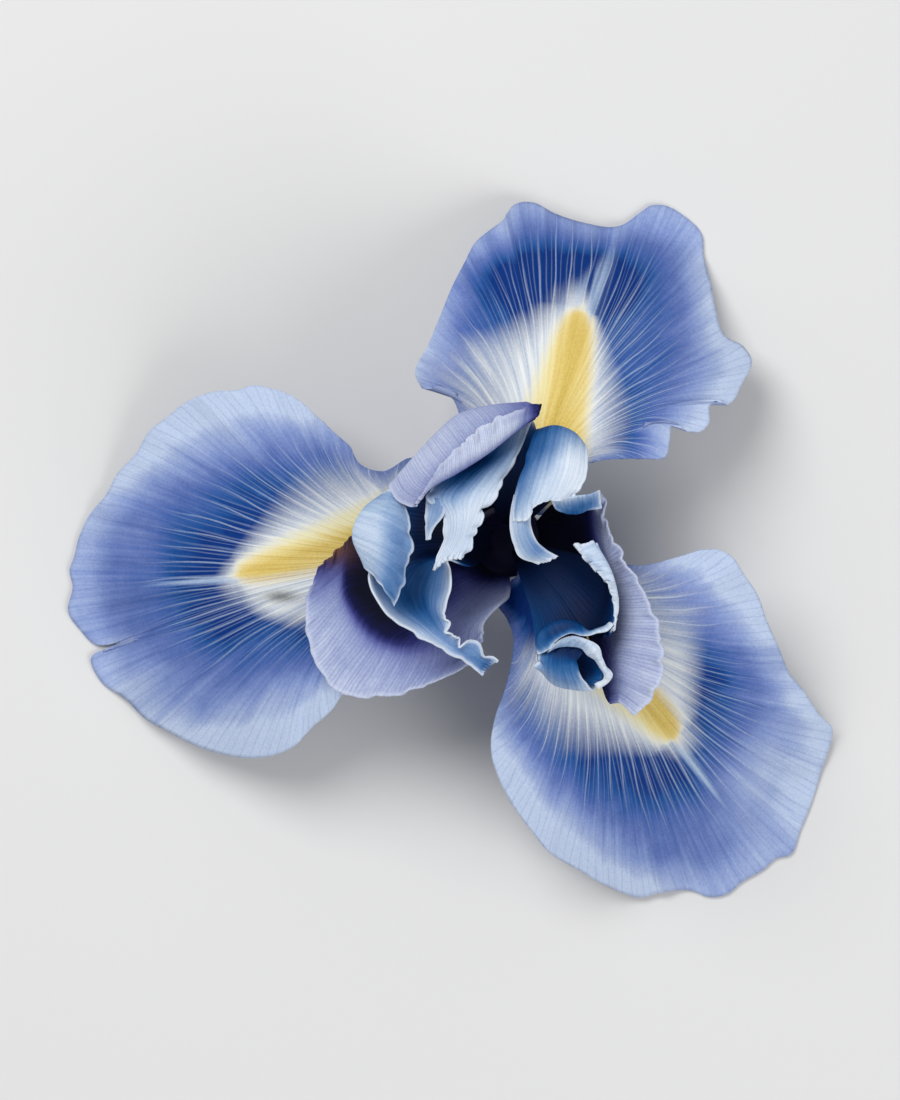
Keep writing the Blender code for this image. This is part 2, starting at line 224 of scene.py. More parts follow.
class Wiring:
    """Short names for the nodes that do sums and mix colours, in the node tree self.tree."""

    def node(self, kind, inputs, **settings):
        made = self.tree.nodes.new(kind)
        for key, value in settings.items():
            setattr(made, key, value)
        for key, value in inputs.items():
            if isinstance(value, bpy.types.NodeSocket):
                self.tree.links.new(value, made.inputs[key])
            else:
                made.inputs[key].default_value = value
        return made

    def math(self, operation, a, b=0.0, clamp=False):
        return self.node("ShaderNodeMath", {0: a, 1: b}, operation=operation, use_clamp=clamp).outputs[0]

    def times(self, a, *others):
        for other in others:
            a = self.math("MULTIPLY", a, other)
        return a

    def minus(self, a, b):
        return self.math("SUBTRACT", a, b)

    def total(self, base, *parts, clamp=False):
        """The base plus a share of each part, given as pairs of value and share."""
        for k, (value, share) in enumerate(parts):
            base = self.math("ADD", base, self.times(value, share), clamp and k == len(parts) - 1)
        return base

    def span(self, value, low, high, kind="SMOOTHSTEP"):
        """0 at low, 1 at high, and a smooth change between them."""
        inputs = {"Value": value, "From Min": low, "From Max": high}
        return self.node("ShaderNodeMapRange", inputs, interpolation_type=kind).outputs[0]

    def fading(self, value, low, high, kind="SMOOTHSTEP"):
        """1 at low, 0 at high."""
        return self.minus(1.0, self.span(value, low, high, kind))

    def ramp(self, value, stops):
        made = self.node("ShaderNodeValToRGB", {"Fac": value})
        elements = made.color_ramp.elements
        while len(elements) < len(stops):
            elements.new(1.0)
        for element, (position, colour) in zip(elements, stops.items()):
            element.position = position
            element.color = paint(*colour)
        return made.outputs["Color"]

    def mix(self, factor, a, b, blend="MIX"):
        inputs = {0: factor, 6: a, 7: b}
        return self.node("ShaderNodeMix", inputs, data_type="RGBA", blend_type=blend).outputs[2]

    def tint(self, body, colour, *shares):
        """A second colour over the first, as strong as the product of the shares."""
        return self.mix(self.times(*shares), body, paint(*colour))


print("mid grey as shaders see it:", round(paint(128, 128, 128)[0], 3))

# %% A finish and its skin
SPECULAR = 0.12  # plant skin is matt
GRAIN_SCALE = 2400


class Finish(Wiring):
    """A Principled material, and the fields, noises and bumps that feed it."""

    def __init__(self, name, roughness):
        self.mat = bpy.data.materials.new(name)
        self.mat.use_nodes = True
        self.tree = self.mat.node_tree
        self.shader = self.tree.nodes["Principled BSDF"]
        self.shader.inputs["Roughness"].default_value = roughness
        self.shader.inputs["Specular IOR Level"].default_value = SPECULAR

    def field(self, name):
        return self.node("ShaderNodeAttribute", {}, attribute_name=name).outputs["Fac"]

    def uv(self):
        return self.node("ShaderNodeUVMap", {}, uv_map="veins").outputs[0]

    def veins(self, across, along, seed):
        """Where a point lies on the veins, stretched so that noise read there becomes long streaks."""
        stretch = {"Vector": self.uv(), "Scale": (across, along, 1.0), "Location": (seed, seed * 0.7, seed)}
        return self.node("ShaderNodeMapping", stretch).outputs[0]

    def noise(self, vector, scale=1.0, detail=2.0, roughness=0.5):
        inputs = {"Vector": vector, "Scale": scale, "Detail": detail, "Roughness": roughness}
        return self.node("ShaderNodeTexNoise", inputs).outputs["Fac"]

    def place(self):
        return self.node("ShaderNodeTexCoord", {}).outputs["Object"]

    def grain(self):
        """The fine grain of single skin cells."""
        return self.noise(self.place(), scale=GRAIN_SCALE, detail=1)

    def speckled(self, body, grain, strength, dark):
        return self.mix(strength, body, self.ramp(grain, {0.3: dark, 0.7: (255, 255, 255)}), "OVERLAY")

    def colour(self, socket):
        self.tree.links.new(socket, self.shader.inputs["Base Color"])

    def bump(self, height, distance_mm, strength):
        inputs = {"Height": height, "Distance": distance_mm * MM, "Strength": strength}
        self.tree.links.new(self.node("ShaderNodeBump", inputs).outputs[0], self.shader.inputs["Normal"])


# %% [markdown]
# ## The falls: shape
# A fall is the broad outer petal. It leaves the flower's foot as a narrow haft, then its veins spread like
# a fan to a rounded, slightly torn margin. So each fall is a fan: Bezier curves that start along the
# petal's heading and end at its outline. The net is then lifted over an arch that comes down to the floor
# at the tip, which is how a picked flower rests. Fine notches only move the outer part of the net, so the
# veins inside stay smooth.

# %% Fall outlines
HEADINGS = {"left": 190, "upper": 67, "right": 314}  # degrees, from +X
REACH_MM = {"left": 71, "upper": 59, "right": 67}
# Anticlockwise round the tip, in millimetres from the flower's axis.
FALL_OUTLINES = {
    "left": [
        (-8, 4.2), (-10.5, 9), (-15, 13.3), (-20, 11.1), (-23.6, 12.4), (-25.1, 15), (-28, 17.7),
        (-30.6, 20.1), (-33.6, 22.8), (-37.5, 24.5), (-41.7, 25), (-43, 24.5), (-47, 24.2), (-52, 22.5),
        (-55, 20.2), (-58.3, 17.6), (-60.2, 14.4), (-63.6, 10.7), (-65.4, 7.4), (-68.1, 4.1), (-70, 0),
        (-70.6, -2.6), (-71.4, -5), (-70.9, -7.5), (-71.6, -12), (-69.7, -14.7), (-67.2, -17.2),
        (-63.2, -17), (-67.9, -19.4), (-66.2, -23.3), (-62.1, -26.2), (-59.1, -29.2), (-55, -31.5),
        (-50, -33.9), (-45, -35.3), (-42.5, -35.6), (-37.5, -35.1), (-34, -33.4), (-31.5, -30.6),
        (-28.5, -28), (-24.5, -22), (-17, -13), (-8.5, -5.5),
    ],
    "right": [
        (-0.2, -8.3), (-1.3, -9.9), (0.4, -13), (1.3, -15.5), (1.2, -18.5), (0, -24), (-1.7, -29),
        (-2.3, -34), (-1.1, -38.5), (1.2, -43), (4.5, -47.6), (7, -50.7), (12.5, -54.2), (17.5, -57.1),
        (22.5, -58.7), (25.5, -58), (31.7, -57.9), (32.7, -58.4), (36.5, -58.2), (39, -56.2), (42.5, -54.2),
        (45, -52.2), (46.6, -51.9), (48.7, -47.5), (50.7, -42.5), (52.2, -37.5), (53.8, -32.5),
        (53.9, -31.2), (51.6, -28.6), (49.1, -24.9), (46.6, -21.9), (44.6, -17.4), (42.6, -13), (41.1, -9),
        (38.4, -5), (37, -2.9), (35, -1.7), (32.5, -1.6), (27.5, -2.9), (22, -4.1), (19.5, -4), (13, -2.6),
        (8, -2.6),
    ],
    "upper": [
        (6.8, 4.2), (10.2, 6.2), (12.7, 10), (13.5, 12.3), (15, 12.7), (22.5, 13.2), (26, 13.4),
        (26.7, 16.2), (27.3, 19), (28.2, 18.2), (29.6, 17.7), (32.3, 17.9), (33.2, 19), (33.4, 22),
        (34.6, 22.7), (36.6, 22.3), (38.7, 25.4), (40.4, 29.5), (39.1, 31.6), (36.1, 33.4), (34.7, 37.5),
        (33.9, 42), (32.7, 47), (32.4, 50.3), (29.6, 53.2), (26, 55), (24, 54.9), (22.5, 53.9),
        (19.3, 51.7), (12.5, 52.2), (8, 53.7), (4.7, 55.4), (2.7, 55.4), (1.4, 54.8), (0, 52.6), (-3, 50.2),
        (-4.6, 48.8), (-6.6, 45.1), (-8.6, 41.1), (-10.4, 36.6), (-12.4, 31.6), (-14.5, 26.5), (-14, 25.4),
        (-10, 24.3), (-8.3, 22.5), (-7.2, 19.5), (-5.5, 14), (-3, 9.8), (-0.6, 7),
    ],
}
for side, outline in FALL_OUTLINES.items():
    print("fall", side, "has an outline of", len(outline), "points")


# %% Headings and softened lines
def directions(side):
    """Unit vectors along a petal's heading and to its left."""
    angle = math.radians(HEADINGS[side])
    return np.array([math.cos(angle), math.sin(angle)]), np.array([-math.sin(angle), math.cos(angle)])


def softened(rim, width):
    """The same line with its notches smoothed away, its ends kept."""
    offsets = np.arange(-3 * width, 3 * width + 1)
    weights = np.exp(-0.5 * (offsets / width) ** 2)
    weights /= weights.sum()
    before = 2 * rim[0] - rim[3 * width:0:-1]
    after = 2 * rim[-1] - rim[-2:-3 * width - 2:-1]
    padded = np.concatenate([before, rim, after])
    return np.stack([np.convolve(padded[:, k], weights, mode="valid") for k in range(2)], axis=1)


# %% Fan a fall's veins out
FALL_ROWS, FALL_COLUMNS = 72, 360
FOOT_RADIUS_MM = 5.6
FOOT_HALF_ANGLE = math.radians(23)
LEAVE, ARRIVE = 0.38, 0.30  # how far each vein runs straight at its foot and at the margin
OUTWARD, FORWARD = 0.65, 0.35  # veins reach the margin leaning between these two directions
NOTCHES_FROM = 0.66  # the share of a vein beyond which the margin's notches bend it


def fan(side):
    """Plan of a petal whose veins leave a narrow foot along the heading and spread to its outline."""
    ahead, _ = directions(side)
    middle = math.radians(HEADINGS[side])
    turns = np.linspace(middle - FOOT_HALF_ANGLE, middle + FOOT_HALF_ANGLE, FALL_COLUMNS)
    foot = FOOT_RADIUS_MM * np.stack([np.cos(turns), np.sin(turns)], axis=1)
    around = [tuple(foot[0])] + FALL_OUTLINES[side] + [tuple(foot[-1])]
    margin = evenly(around, FALL_COLUMNS + 6)[3:-3]
    rim = softened(margin, FALL_COLUMNS // 30)
    along = np.gradient(softened(rim, FALL_COLUMNS // 20), axis=0)
    outward = np.stack([along[:, 1], -along[:, 0]], axis=1)
    outward /= np.linalg.norm(outward, axis=1)[:, None]
    reach = np.linalg.norm(rim - foot, axis=1)[:, None]
    lean = OUTWARD * outward + FORWARD * ahead
    leave = foot + LEAVE * reach * ahead
    arrive = rim - ARRIVE * reach * lean / np.linalg.norm(lean, axis=1)[:, None]
    t = np.linspace(0, 1, FALL_ROWS)[:, None, None]
    net = foot * (1 - t) ** 3 + 3 * leave * t * (1 - t) ** 2 + 3 * arrive * t**2 * (1 - t) + rim * t**3
    return net + (margin - rim) * smoothstep(NOTCHES_FROM, 1, t)


print("the left fall's veins and points:", fan("left").shape)

# %% Lift a fall over its arch
FOOT_HEIGHT_MM = 18.6
# Height of a fall's midline against the share of its reach.
FALL_ARCH = [(0.06, 18.2), (0.11, 20), (0.2, 22.6), (0.28, 24.2), (0.39, 24.2), (0.56, 20.2), (0.77, 10.6),
             (1, -2.6)]
SIDE_DROOP = 0.006
DROOP_FROM_MM, DROOP_OVER_MM = 8, 25
# three sizes of wave, the finest at the margin
BILLOW_MM, RIPPLE_MM, CRIMP_MM = 0.9, 0.55, 0.22
BILLOWS, RIPPLES, CRIMPS = 5, 14, 40
RIPPLES_FROM, CRIMPS_FROM = 0.55, 0.82
LOWEST_MM = 0.6


def fall_net(side, seed):
    """The fan, lifted over the arch, rippled, and flattened softly where it meets the floor."""
    plan = fan(side)
    ahead, left = directions(side)
    along, aside = plan @ ahead, plan @ left
    share, height = np.array(FALL_ARCH).T
    fine = np.linspace(share[0], share[-1], 200)
    z = np.interp(along / REACH_MM[side], fine, spline(height[:, None], share, fine)[:, 0])
    z -= SIDE_DROOP * aside**2 * np.clip((along - DROOP_FROM_MM) / DROOP_OVER_MM, 0, 1)
    u = np.linspace(0, 1, FALL_ROWS)[:, None]
    v = np.linspace(0, 1, FALL_COLUMNS)[None, :]
    z = z + BILLOW_MM * u**3 * np.sin(math.tau * BILLOWS * v) * np.sin(math.pi * v)
    z += RIPPLE_MM * smoothstep(RIPPLES_FROM, 1, u) * wavy(v, RIPPLES, seed) * np.sin(math.pi * v)
    z += CRIMP_MM * smoothstep(CRIMPS_FROM, 1, u) * wavy(v, CRIMPS, seed + 1) * np.sin(math.pi * v)
    z = LOWEST_MM + 0.5 * ((z - LOWEST_MM) + np.sqrt((z - LOWEST_MM) ** 2 + 1.0))
    z -= u**2 * (z.min() - LOWEST_MM)
    z[0] = FOOT_HEIGHT_MM
    return np.concatenate([plan, z[..., None]], axis=2)


# %% [markdown]
# ## The falls: colour
# The middle of each fall carries a signal: a yellow flash, a white halo that runs out along the veins, and
# a deep blue shadow round it that fades through violet blue to a pale margin. The mesh carries numbers for
# this: the distance from the flash, the distance within the halo, which is stretched so that the halo is
# broad at the foot and narrow at the flash's tip, and a tone from deep to pale. Where the haft goes down
# into the throat, the tone is darkened and the halo and the pale veins give way: that is painted shade. The
# material disturbs them with streaks that follow the veins, so every border breaks into feathered lines.

# %% Where the signals lie
# from and to: the ends of the yellow flash. left and right: the bands, measured from its midline, over which
# each side of the petal turns pale. halo: how broad the white halo is on the flash's left and right.
# gold_side: the side on which the flash is deeper. streamer: a pale streak's two ends and its half width.
# glows (where the halo reaches further; some stand in for light where the flower above would shade the fall,
# as painted light) and pools (where the tone is paler, or deeper if negative; the deeper ones partly paint
# shade in folds and hollows) are soft patches: place, radii and strength.
SIGNALS = {
    "left": {
        "from": (-16, 3.5), "to": (-43.6, -5.6), "half_width": 5, "taper": 0.62,
        "left": (14, 28), "right": (13, 29), "halo": (1.15, 0.78), "gold_side": 1,
        "streamer": ((-42, -6.2), (-62, -7.6), 1.0),
        "glows": [((-37, -11.4), (6, 3.4), 6)],
        "pools": [((-48, -1), (7, 5), -0.08), ((-46, -13), (7, 4), -0.14), ((-27, -14), (7, 6), -0.1),
                  ((-59, -23), (8, 4.5), 0.24), ((-32, 14), (6, 4), 0.2)],
    },
    "right": {
        "from": (12, -16), "to": (27.8, -32.2), "half_width": 4.8, "taper": 0.5,
        "left": (11, 28), "right": (14, 27), "halo": (1.25, 1.0), "gold_side": 1,
        "streamer": ((28, -33), (38, -46), 1.2),
        # the second glow whitens the halo where the rolled style lobe above would shade it: painted light
        "glows": [((28.5, -20), (3, 7), 2), ((14, -26), (5, 3), 2)],
        "pools": [((24, -40), (9, 4), -0.14), ((35, -24), (5, 8), -0.06), ((11, -36), (5, 8), -0.1),
                  ((43, -38), (11, 10), 0.5), ((46, -19), (6, 5), -0.35)],
    },
    "upper": {
        "from": (6.4, 12), "to": (12.2, 37.4), "half_width": 6.4, "taper": 0.62,
        "left": (19, 31), "right": (12, 34), "halo": (1.5, 0.58), "gold_side": -0.4,
        "streamer": ((11, 35.2), (19.2, 50), 4.4),
        "glows": [((-3, 31), (7, 4), 1.4)],
        # the first pool deepens the band across the upper fall: its own deep blue, partly painted shade in
        # the fold
        "pools": [((5, 42.4), (13, 4.2), -0.5), ((19, 41), (4, 5), -0.1), ((19.5, 30), (4.5, 7), 0.2),
                  ((26, 18), (4, 4), 0.2)],
    },
}
# A small painted shadow on the left fall, beside the lowest standard's margin.
SMALL_SHADOW_PATCH = (-36.3, -9.2), (3, 1)  # a dull mark on the left fall: place and radii
for side, signal in SIGNALS.items():
    print("flash on the", side, "fall:", round(math.dist(signal["from"], signal["to"]), 1), "mm long")


# %% Measure from a line on the petal
def from_line(net, start, end):
    """A line's length, and each point's place along it and to its left, in millimetres."""
    start, end = np.array(start, float), np.array(end, float)
    length = np.linalg.norm(end - start)
    axis = (end - start) / length
    rel = net[..., :2] - start
    return length, rel @ axis, rel @ np.array([-axis[1], axis[0]])


def streamer_share(net, start, end, wide):
    """A pale streak that fades in at its start and narrows towards its end."""
    length, along, aside = from_line(net, start, end)
    share = along / length
    fades = smoothstep(-0.1, 0.12, share) * (1 - smoothstep(0.4, 1, share))
    return fades * (1 - smoothstep(0.1, 1, np.abs(aside) / (wide * np.clip(1.15 - share, 0.2, 1.2))))


# %% Distances from the flash and in the halo
ROUND_TIP = 16  # the power that closes the flash's tip; higher is blunter
HALO_AT_FOOT, HALO_NARROWS = 1.5, 1.05


def flash_distance(signal, length, along, aside):
    """Millimetres past the yellow flash's edge, negative inside it. The flash tapers towards its tip."""
    held = np.clip(along, 0, length)
    width = signal["half_width"] * (1 - signal["taper"] * held / length)
    return np.hypot(along - held, aside) - width * np.sqrt(1 - (held / length) ** ROUND_TIP)


def halo_distance(net, signal, distance, share, aside):
    """The same distance, but shorter where the halo is broad."""
    left, right = signal["halo"]
    breadth = HALO_AT_FOOT - HALO_NARROWS * smoothstep(0.4, 1, share)
    halo = distance / (breadth * (right + (left - right) * smoothstep(-3, 3, aside)))
    for place, radii, strength in signal["glows"]:
        halo -= strength * patch(net, place, radii)
    return halo


# %% Tone, and all the numbers together
DEEPEST, SHADOW_LIFT, MARGIN_LIFT, SIDE_LIFT, FOOT_SHADE_DROP = 0.02, 0.42, 0.30, 0.6, 0.5
OUT_OF_SHADOW_MM = 3, 21  # from the flash
PALE_MARGIN_MM = 0.4, 9  # from the rim
# painted shade: the tone drops towards the foot, where the haft goes down into the shaded throat
SHADED_FOOT_MM = 8, 17  # from the flower's axis


def fall_tone(net, signal, distance, aside, foot):
    """From deep blue, 0, near the flash and in the foot's painted shade to pale, 1, at sides and margin."""
    rim = rim_distance(net)
    left_side, right_side = smoothstep(*signal["left"], aside), smoothstep(*signal["right"], -aside)
    tone = DEEPEST + SHADOW_LIFT * smoothstep(*OUT_OF_SHADOW_MM, distance)
    tone += MARGIN_LIFT * (1 - smoothstep(*PALE_MARGIN_MM, rim))
    tone += SIDE_LIFT * np.where(aside > 0, left_side, right_side)
    for place, radii, strength in signal["pools"]:
        tone += strength * patch(net, place, radii)
    # the drop at the foot is painted shade, in the throat
    return tone - FOOT_SHADE_DROP * (1 - smoothstep(*SHADED_FOOT_MM, foot)) * smoothstep(0.4, 2.5, rim)


def signal_fields(net, side):
    """All the numbers that a fall's finish reads, for each point of its net."""
    signal = SIGNALS[side]
    length, along, aside = from_line(net, signal["from"], signal["to"])
    share = along / length
    distance = flash_distance(signal, length, along, aside)
    foot = np.hypot(net[..., 0], net[..., 1])
    return {
        "signal": distance,
        "halo": halo_distance(net, signal, distance, share, aside),
        "ahead": share,
        "beside": aside * signal["gold_side"],
        "tone": fall_tone(net, signal, distance, aside, foot),
        "spread": vein_spread(net),
        "foot": foot,
        "small_shadow": patch(net, *SMALL_SHADOW_PATCH),
        "streamer": streamer_share(net, *signal["streamer"]),
    }


# %% [markdown]
# ## Veins
# An iris petal is covered in fine parallel veins that keep the same width while the petal widens. The
# number across the UV map says which vein a point is near, and the spread says how wide a step of it is in
# millimetres, so a line can be drawn with one width from the foot to the margin.


# %% Vein lines
def vein_lines(f, count, width_mm, wander, seed):
    """Thin lines of even width that follow the veins: 1 on a line, 0 between lines."""
    across = f.node("ShaderNodeSeparateXYZ", {"Vector": f.uv()}).outputs["X"]
    drift = f.minus(f.noise(f.veins(count / 3, 3.0, seed), detail=1), 0.5)
    place = f.times(f.total(across, (drift, wander / count)), count)
    apart = f.times(f.math("PINGPONG", place, 0.5), f.times(f.field("spread"), 1 / count))
    return f.fading(apart, 0.2 * width_mm, width_mm)


# %% [markdown]
# ## The falls' velvet
# The upper face is painted in three layers, as a painter would do it: the blues with their veins, then the
# white halo, then the yellow flash with deeper gold along its core. The same streaks push all three borders
# about, so the layers seem to be one skin.

# %% Blues and veins
FALL_BLUES = {0.0: (0, 50, 124), 0.13: (30, 80, 148), 0.27: (66, 98, 166), 0.42: (96, 118, 180),
              0.6: (130, 150, 203), 0.82: (162, 179, 218), 1.0: (190, 206, 234)}
VIOLET_BLUE = 84, 92, 158
VEIN_WHITE = 196, 212, 234
VELVET_ROUGHNESS = 0.66


def fall_blues(f):
    """The blues by tone, with violet twigs in the outer part and pale veins that run out of the halo."""
    signal = f.field("signal")
    cloud = f.noise(f.place(), scale=150, detail=3, roughness=0.6)
    parts = (f.off_streak, 0.42), (f.off_fine, 0.22), (f.minus(cloud, 0.5), 0.26)
    body = f.ramp(f.total(f.field("tone"), *parts, clamp=True), FALL_BLUES)
    body = f.tint(body, VIOLET_BLUE, f.twigs, f.span(signal, 8, 16), 0.18)
    reach = f.fading(f.total(signal, (f.off_streak, 18.0)), 5, 19)
    # the pale veins stop short of the foot, which is left in painted shade
    pale = f.times(f.math("MAXIMUM", f.lines, f.times(f.twigs, 0.4)), reach, f.span(f.foot, 14, 24))
    return f.tint(body, VEIN_WHITE, pale, 0.46)


# %% Halo and streamer
HALO_MM = 0.5, 9.0  # where the halo starts to fade, and where it ends
HALO_FALLOFF = 1.5


def with_halo(f, body, push):
    """The white halo, feathered along the veins, and the streamer beyond it."""
    halo = f.fading(f.math("ADD", f.field("halo"), push), *HALO_MM, kind="LINEAR")
    # near the foot the halo gives way to the painted shade of the throat
    fades = f.span(f.field("rim"), -2.5, 5.0), f.span(f.foot, 15, 23)
    halo = f.times(f.math("POWER", halo, HALO_FALLOFF), *fades)
    body = f.tint(body, (176, 198, 226), f.field("streamer"), f.span(f.streak, 0.25, 0.55), 0.85)
    white = f.mix(f.span(f.streak, 0.35, 0.65), paint(238, 242, 241), paint(212, 221, 232))
    return f.mix(halo, body, white)


# %% Yellow flash
GOLDS = {0.0: (244, 236, 190), 0.25: (240, 222, 152), 0.55: (226, 198, 112), 0.9: (198, 170, 72)}
# the grey of the small painted shadow on the left fall
SMALL_SHADOW_GREY = 98, 100, 96


def with_flash(f, body, push):
    """The yellow flash: cream at its edge, deep gold in stripes along its core."""
    inside = f.minus(f.times(push, -0.3), f.field("signal"))
    lengthwise = f.span(f.field("ahead"), 0.3, 0.95)
    parts = (lengthwise, 0.30), (f.field("beside"), 0.11), (f.off_streak, 1.1)
    gold = f.ramp(f.total(f.times(inside, 0.14), *parts, clamp=True), GOLDS)
    body = f.mix(f.span(inside, -1.6, 1.2), body, gold)
    # the small painted shadow on the left fall
    return f.tint(body, SMALL_SHADOW_GREY, f.field("small_shadow"), 0.85)


# %% The whole upper face
def fall_finish():
    """Velvety blue petal, painted by distance from the signal and by tone."""
    f = Finish("fall_blue_velvet", VELVET_ROUGHNESS)
    f.foot = f.field("foot")
    f.streak = f.noise(f.veins(across=70, along=1.6, seed=3.0), detail=2.5, roughness=0.6)
    fine = f.noise(f.veins(across=200, along=3.0, seed=9.0), detail=1.5)
    f.off_streak, f.off_fine = f.minus(f.streak, 0.5), f.minus(fine, 0.5)
    f.lines = vein_lines(f, count=46, width_mm=0.21, wander=1.1, seed=2.0)
    f.twigs = vein_lines(f, count=124, width_mm=0.18, wander=2.0, seed=7.0)
    push = f.total(f.times(f.off_streak, 5.0), (f.off_fine, 2.4), (f.lines, -0.9))
    body = with_flash(f, with_halo(f, fall_blues(f), push), push)
    grain = f.grain()
    f.colour(f.speckled(body, grain, 0.10, (110, 116, 160)))
    height = f.total(f.times(f.streak, 0.6), (fine, 0.3), (f.lines, 0.25), (grain, 0.06))
    f.bump(height, distance_mm=0.28, strength=0.55)
    return f.mat


FALL = fall_finish()
print(FALL.name, "has", len(FALL.node_tree.nodes), "nodes")

# %% [markdown]
# ## The falls' undersides
# The back of a fall is the same blue, paler and duller, because the light comes through the tissue. A
# greenish midrib runs out from the foot. It is a second finish on the same sheet, on the faces that
# Solidify adds.


# %% Underside
def underside_finish():
    """The back of a petal: same blues, paler and duller, greenish midrib and painted shade near the foot."""
    f = Finish("petal_underside", 0.7)
    streak = f.noise(f.veins(across=80, along=1.4, seed=5.0), detail=2.5)
    body = f.mix(f.span(streak, 0.3, 0.7), paint(126, 142, 190), paint(164, 178, 212))
    rib = f.fading(f.math("ABSOLUTE", f.field("beside")), 0.6, 4.0)
    body = f.tint(body, (150, 168, 150), rib, 0.4)
    # Painted shade: the underside turns dark navy near the foot, down in the throat.
    body = f.tint(body, (16, 24, 62), f.fading(f.field("foot"), 9, 20), 0.85)
    f.colour(body)
    f.bump(streak, distance_mm=0.2, strength=0.5)
    return f.mat


UNDERSIDE = underside_finish()
print(UNDERSIDE.name, "has", len(UNDERSIDE.node_tree.nodes), "nodes")

# %% Build the falls
FALL_MM = 0.45  # thickness
for seed, side in enumerate(FALL_OUTLINES):
    net = fall_net(side, seed=11 + 2 * seed)
    fields = [signal_fields(net, side)]
    petal = sheet(f"petal_fall_{side}", [net], [FALL, UNDERSIDE], FALL_MM, fields)
    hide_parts(f"fall_{side}")


# %% [markdown]
# ## The standards
# Three narrower lavender petals stand between the falls. One leans back and rolls its margin outwards, one
# is a steep panel, one lies open like a fan. None of them is a simple fan in plan, so each is lofted
# through rows of points, from its narrow claw to its free margin. Every point has a fourth number, its
# tone: 0 is as dark as the throat, 1 is the palest margin. The tone is partly the petal's own lavender and
# partly painted shade, darkest down in the claw, in the creases and along the style arms' edges, where
# shade falls. The loft carries it along, so the petal is painted by the same rows.

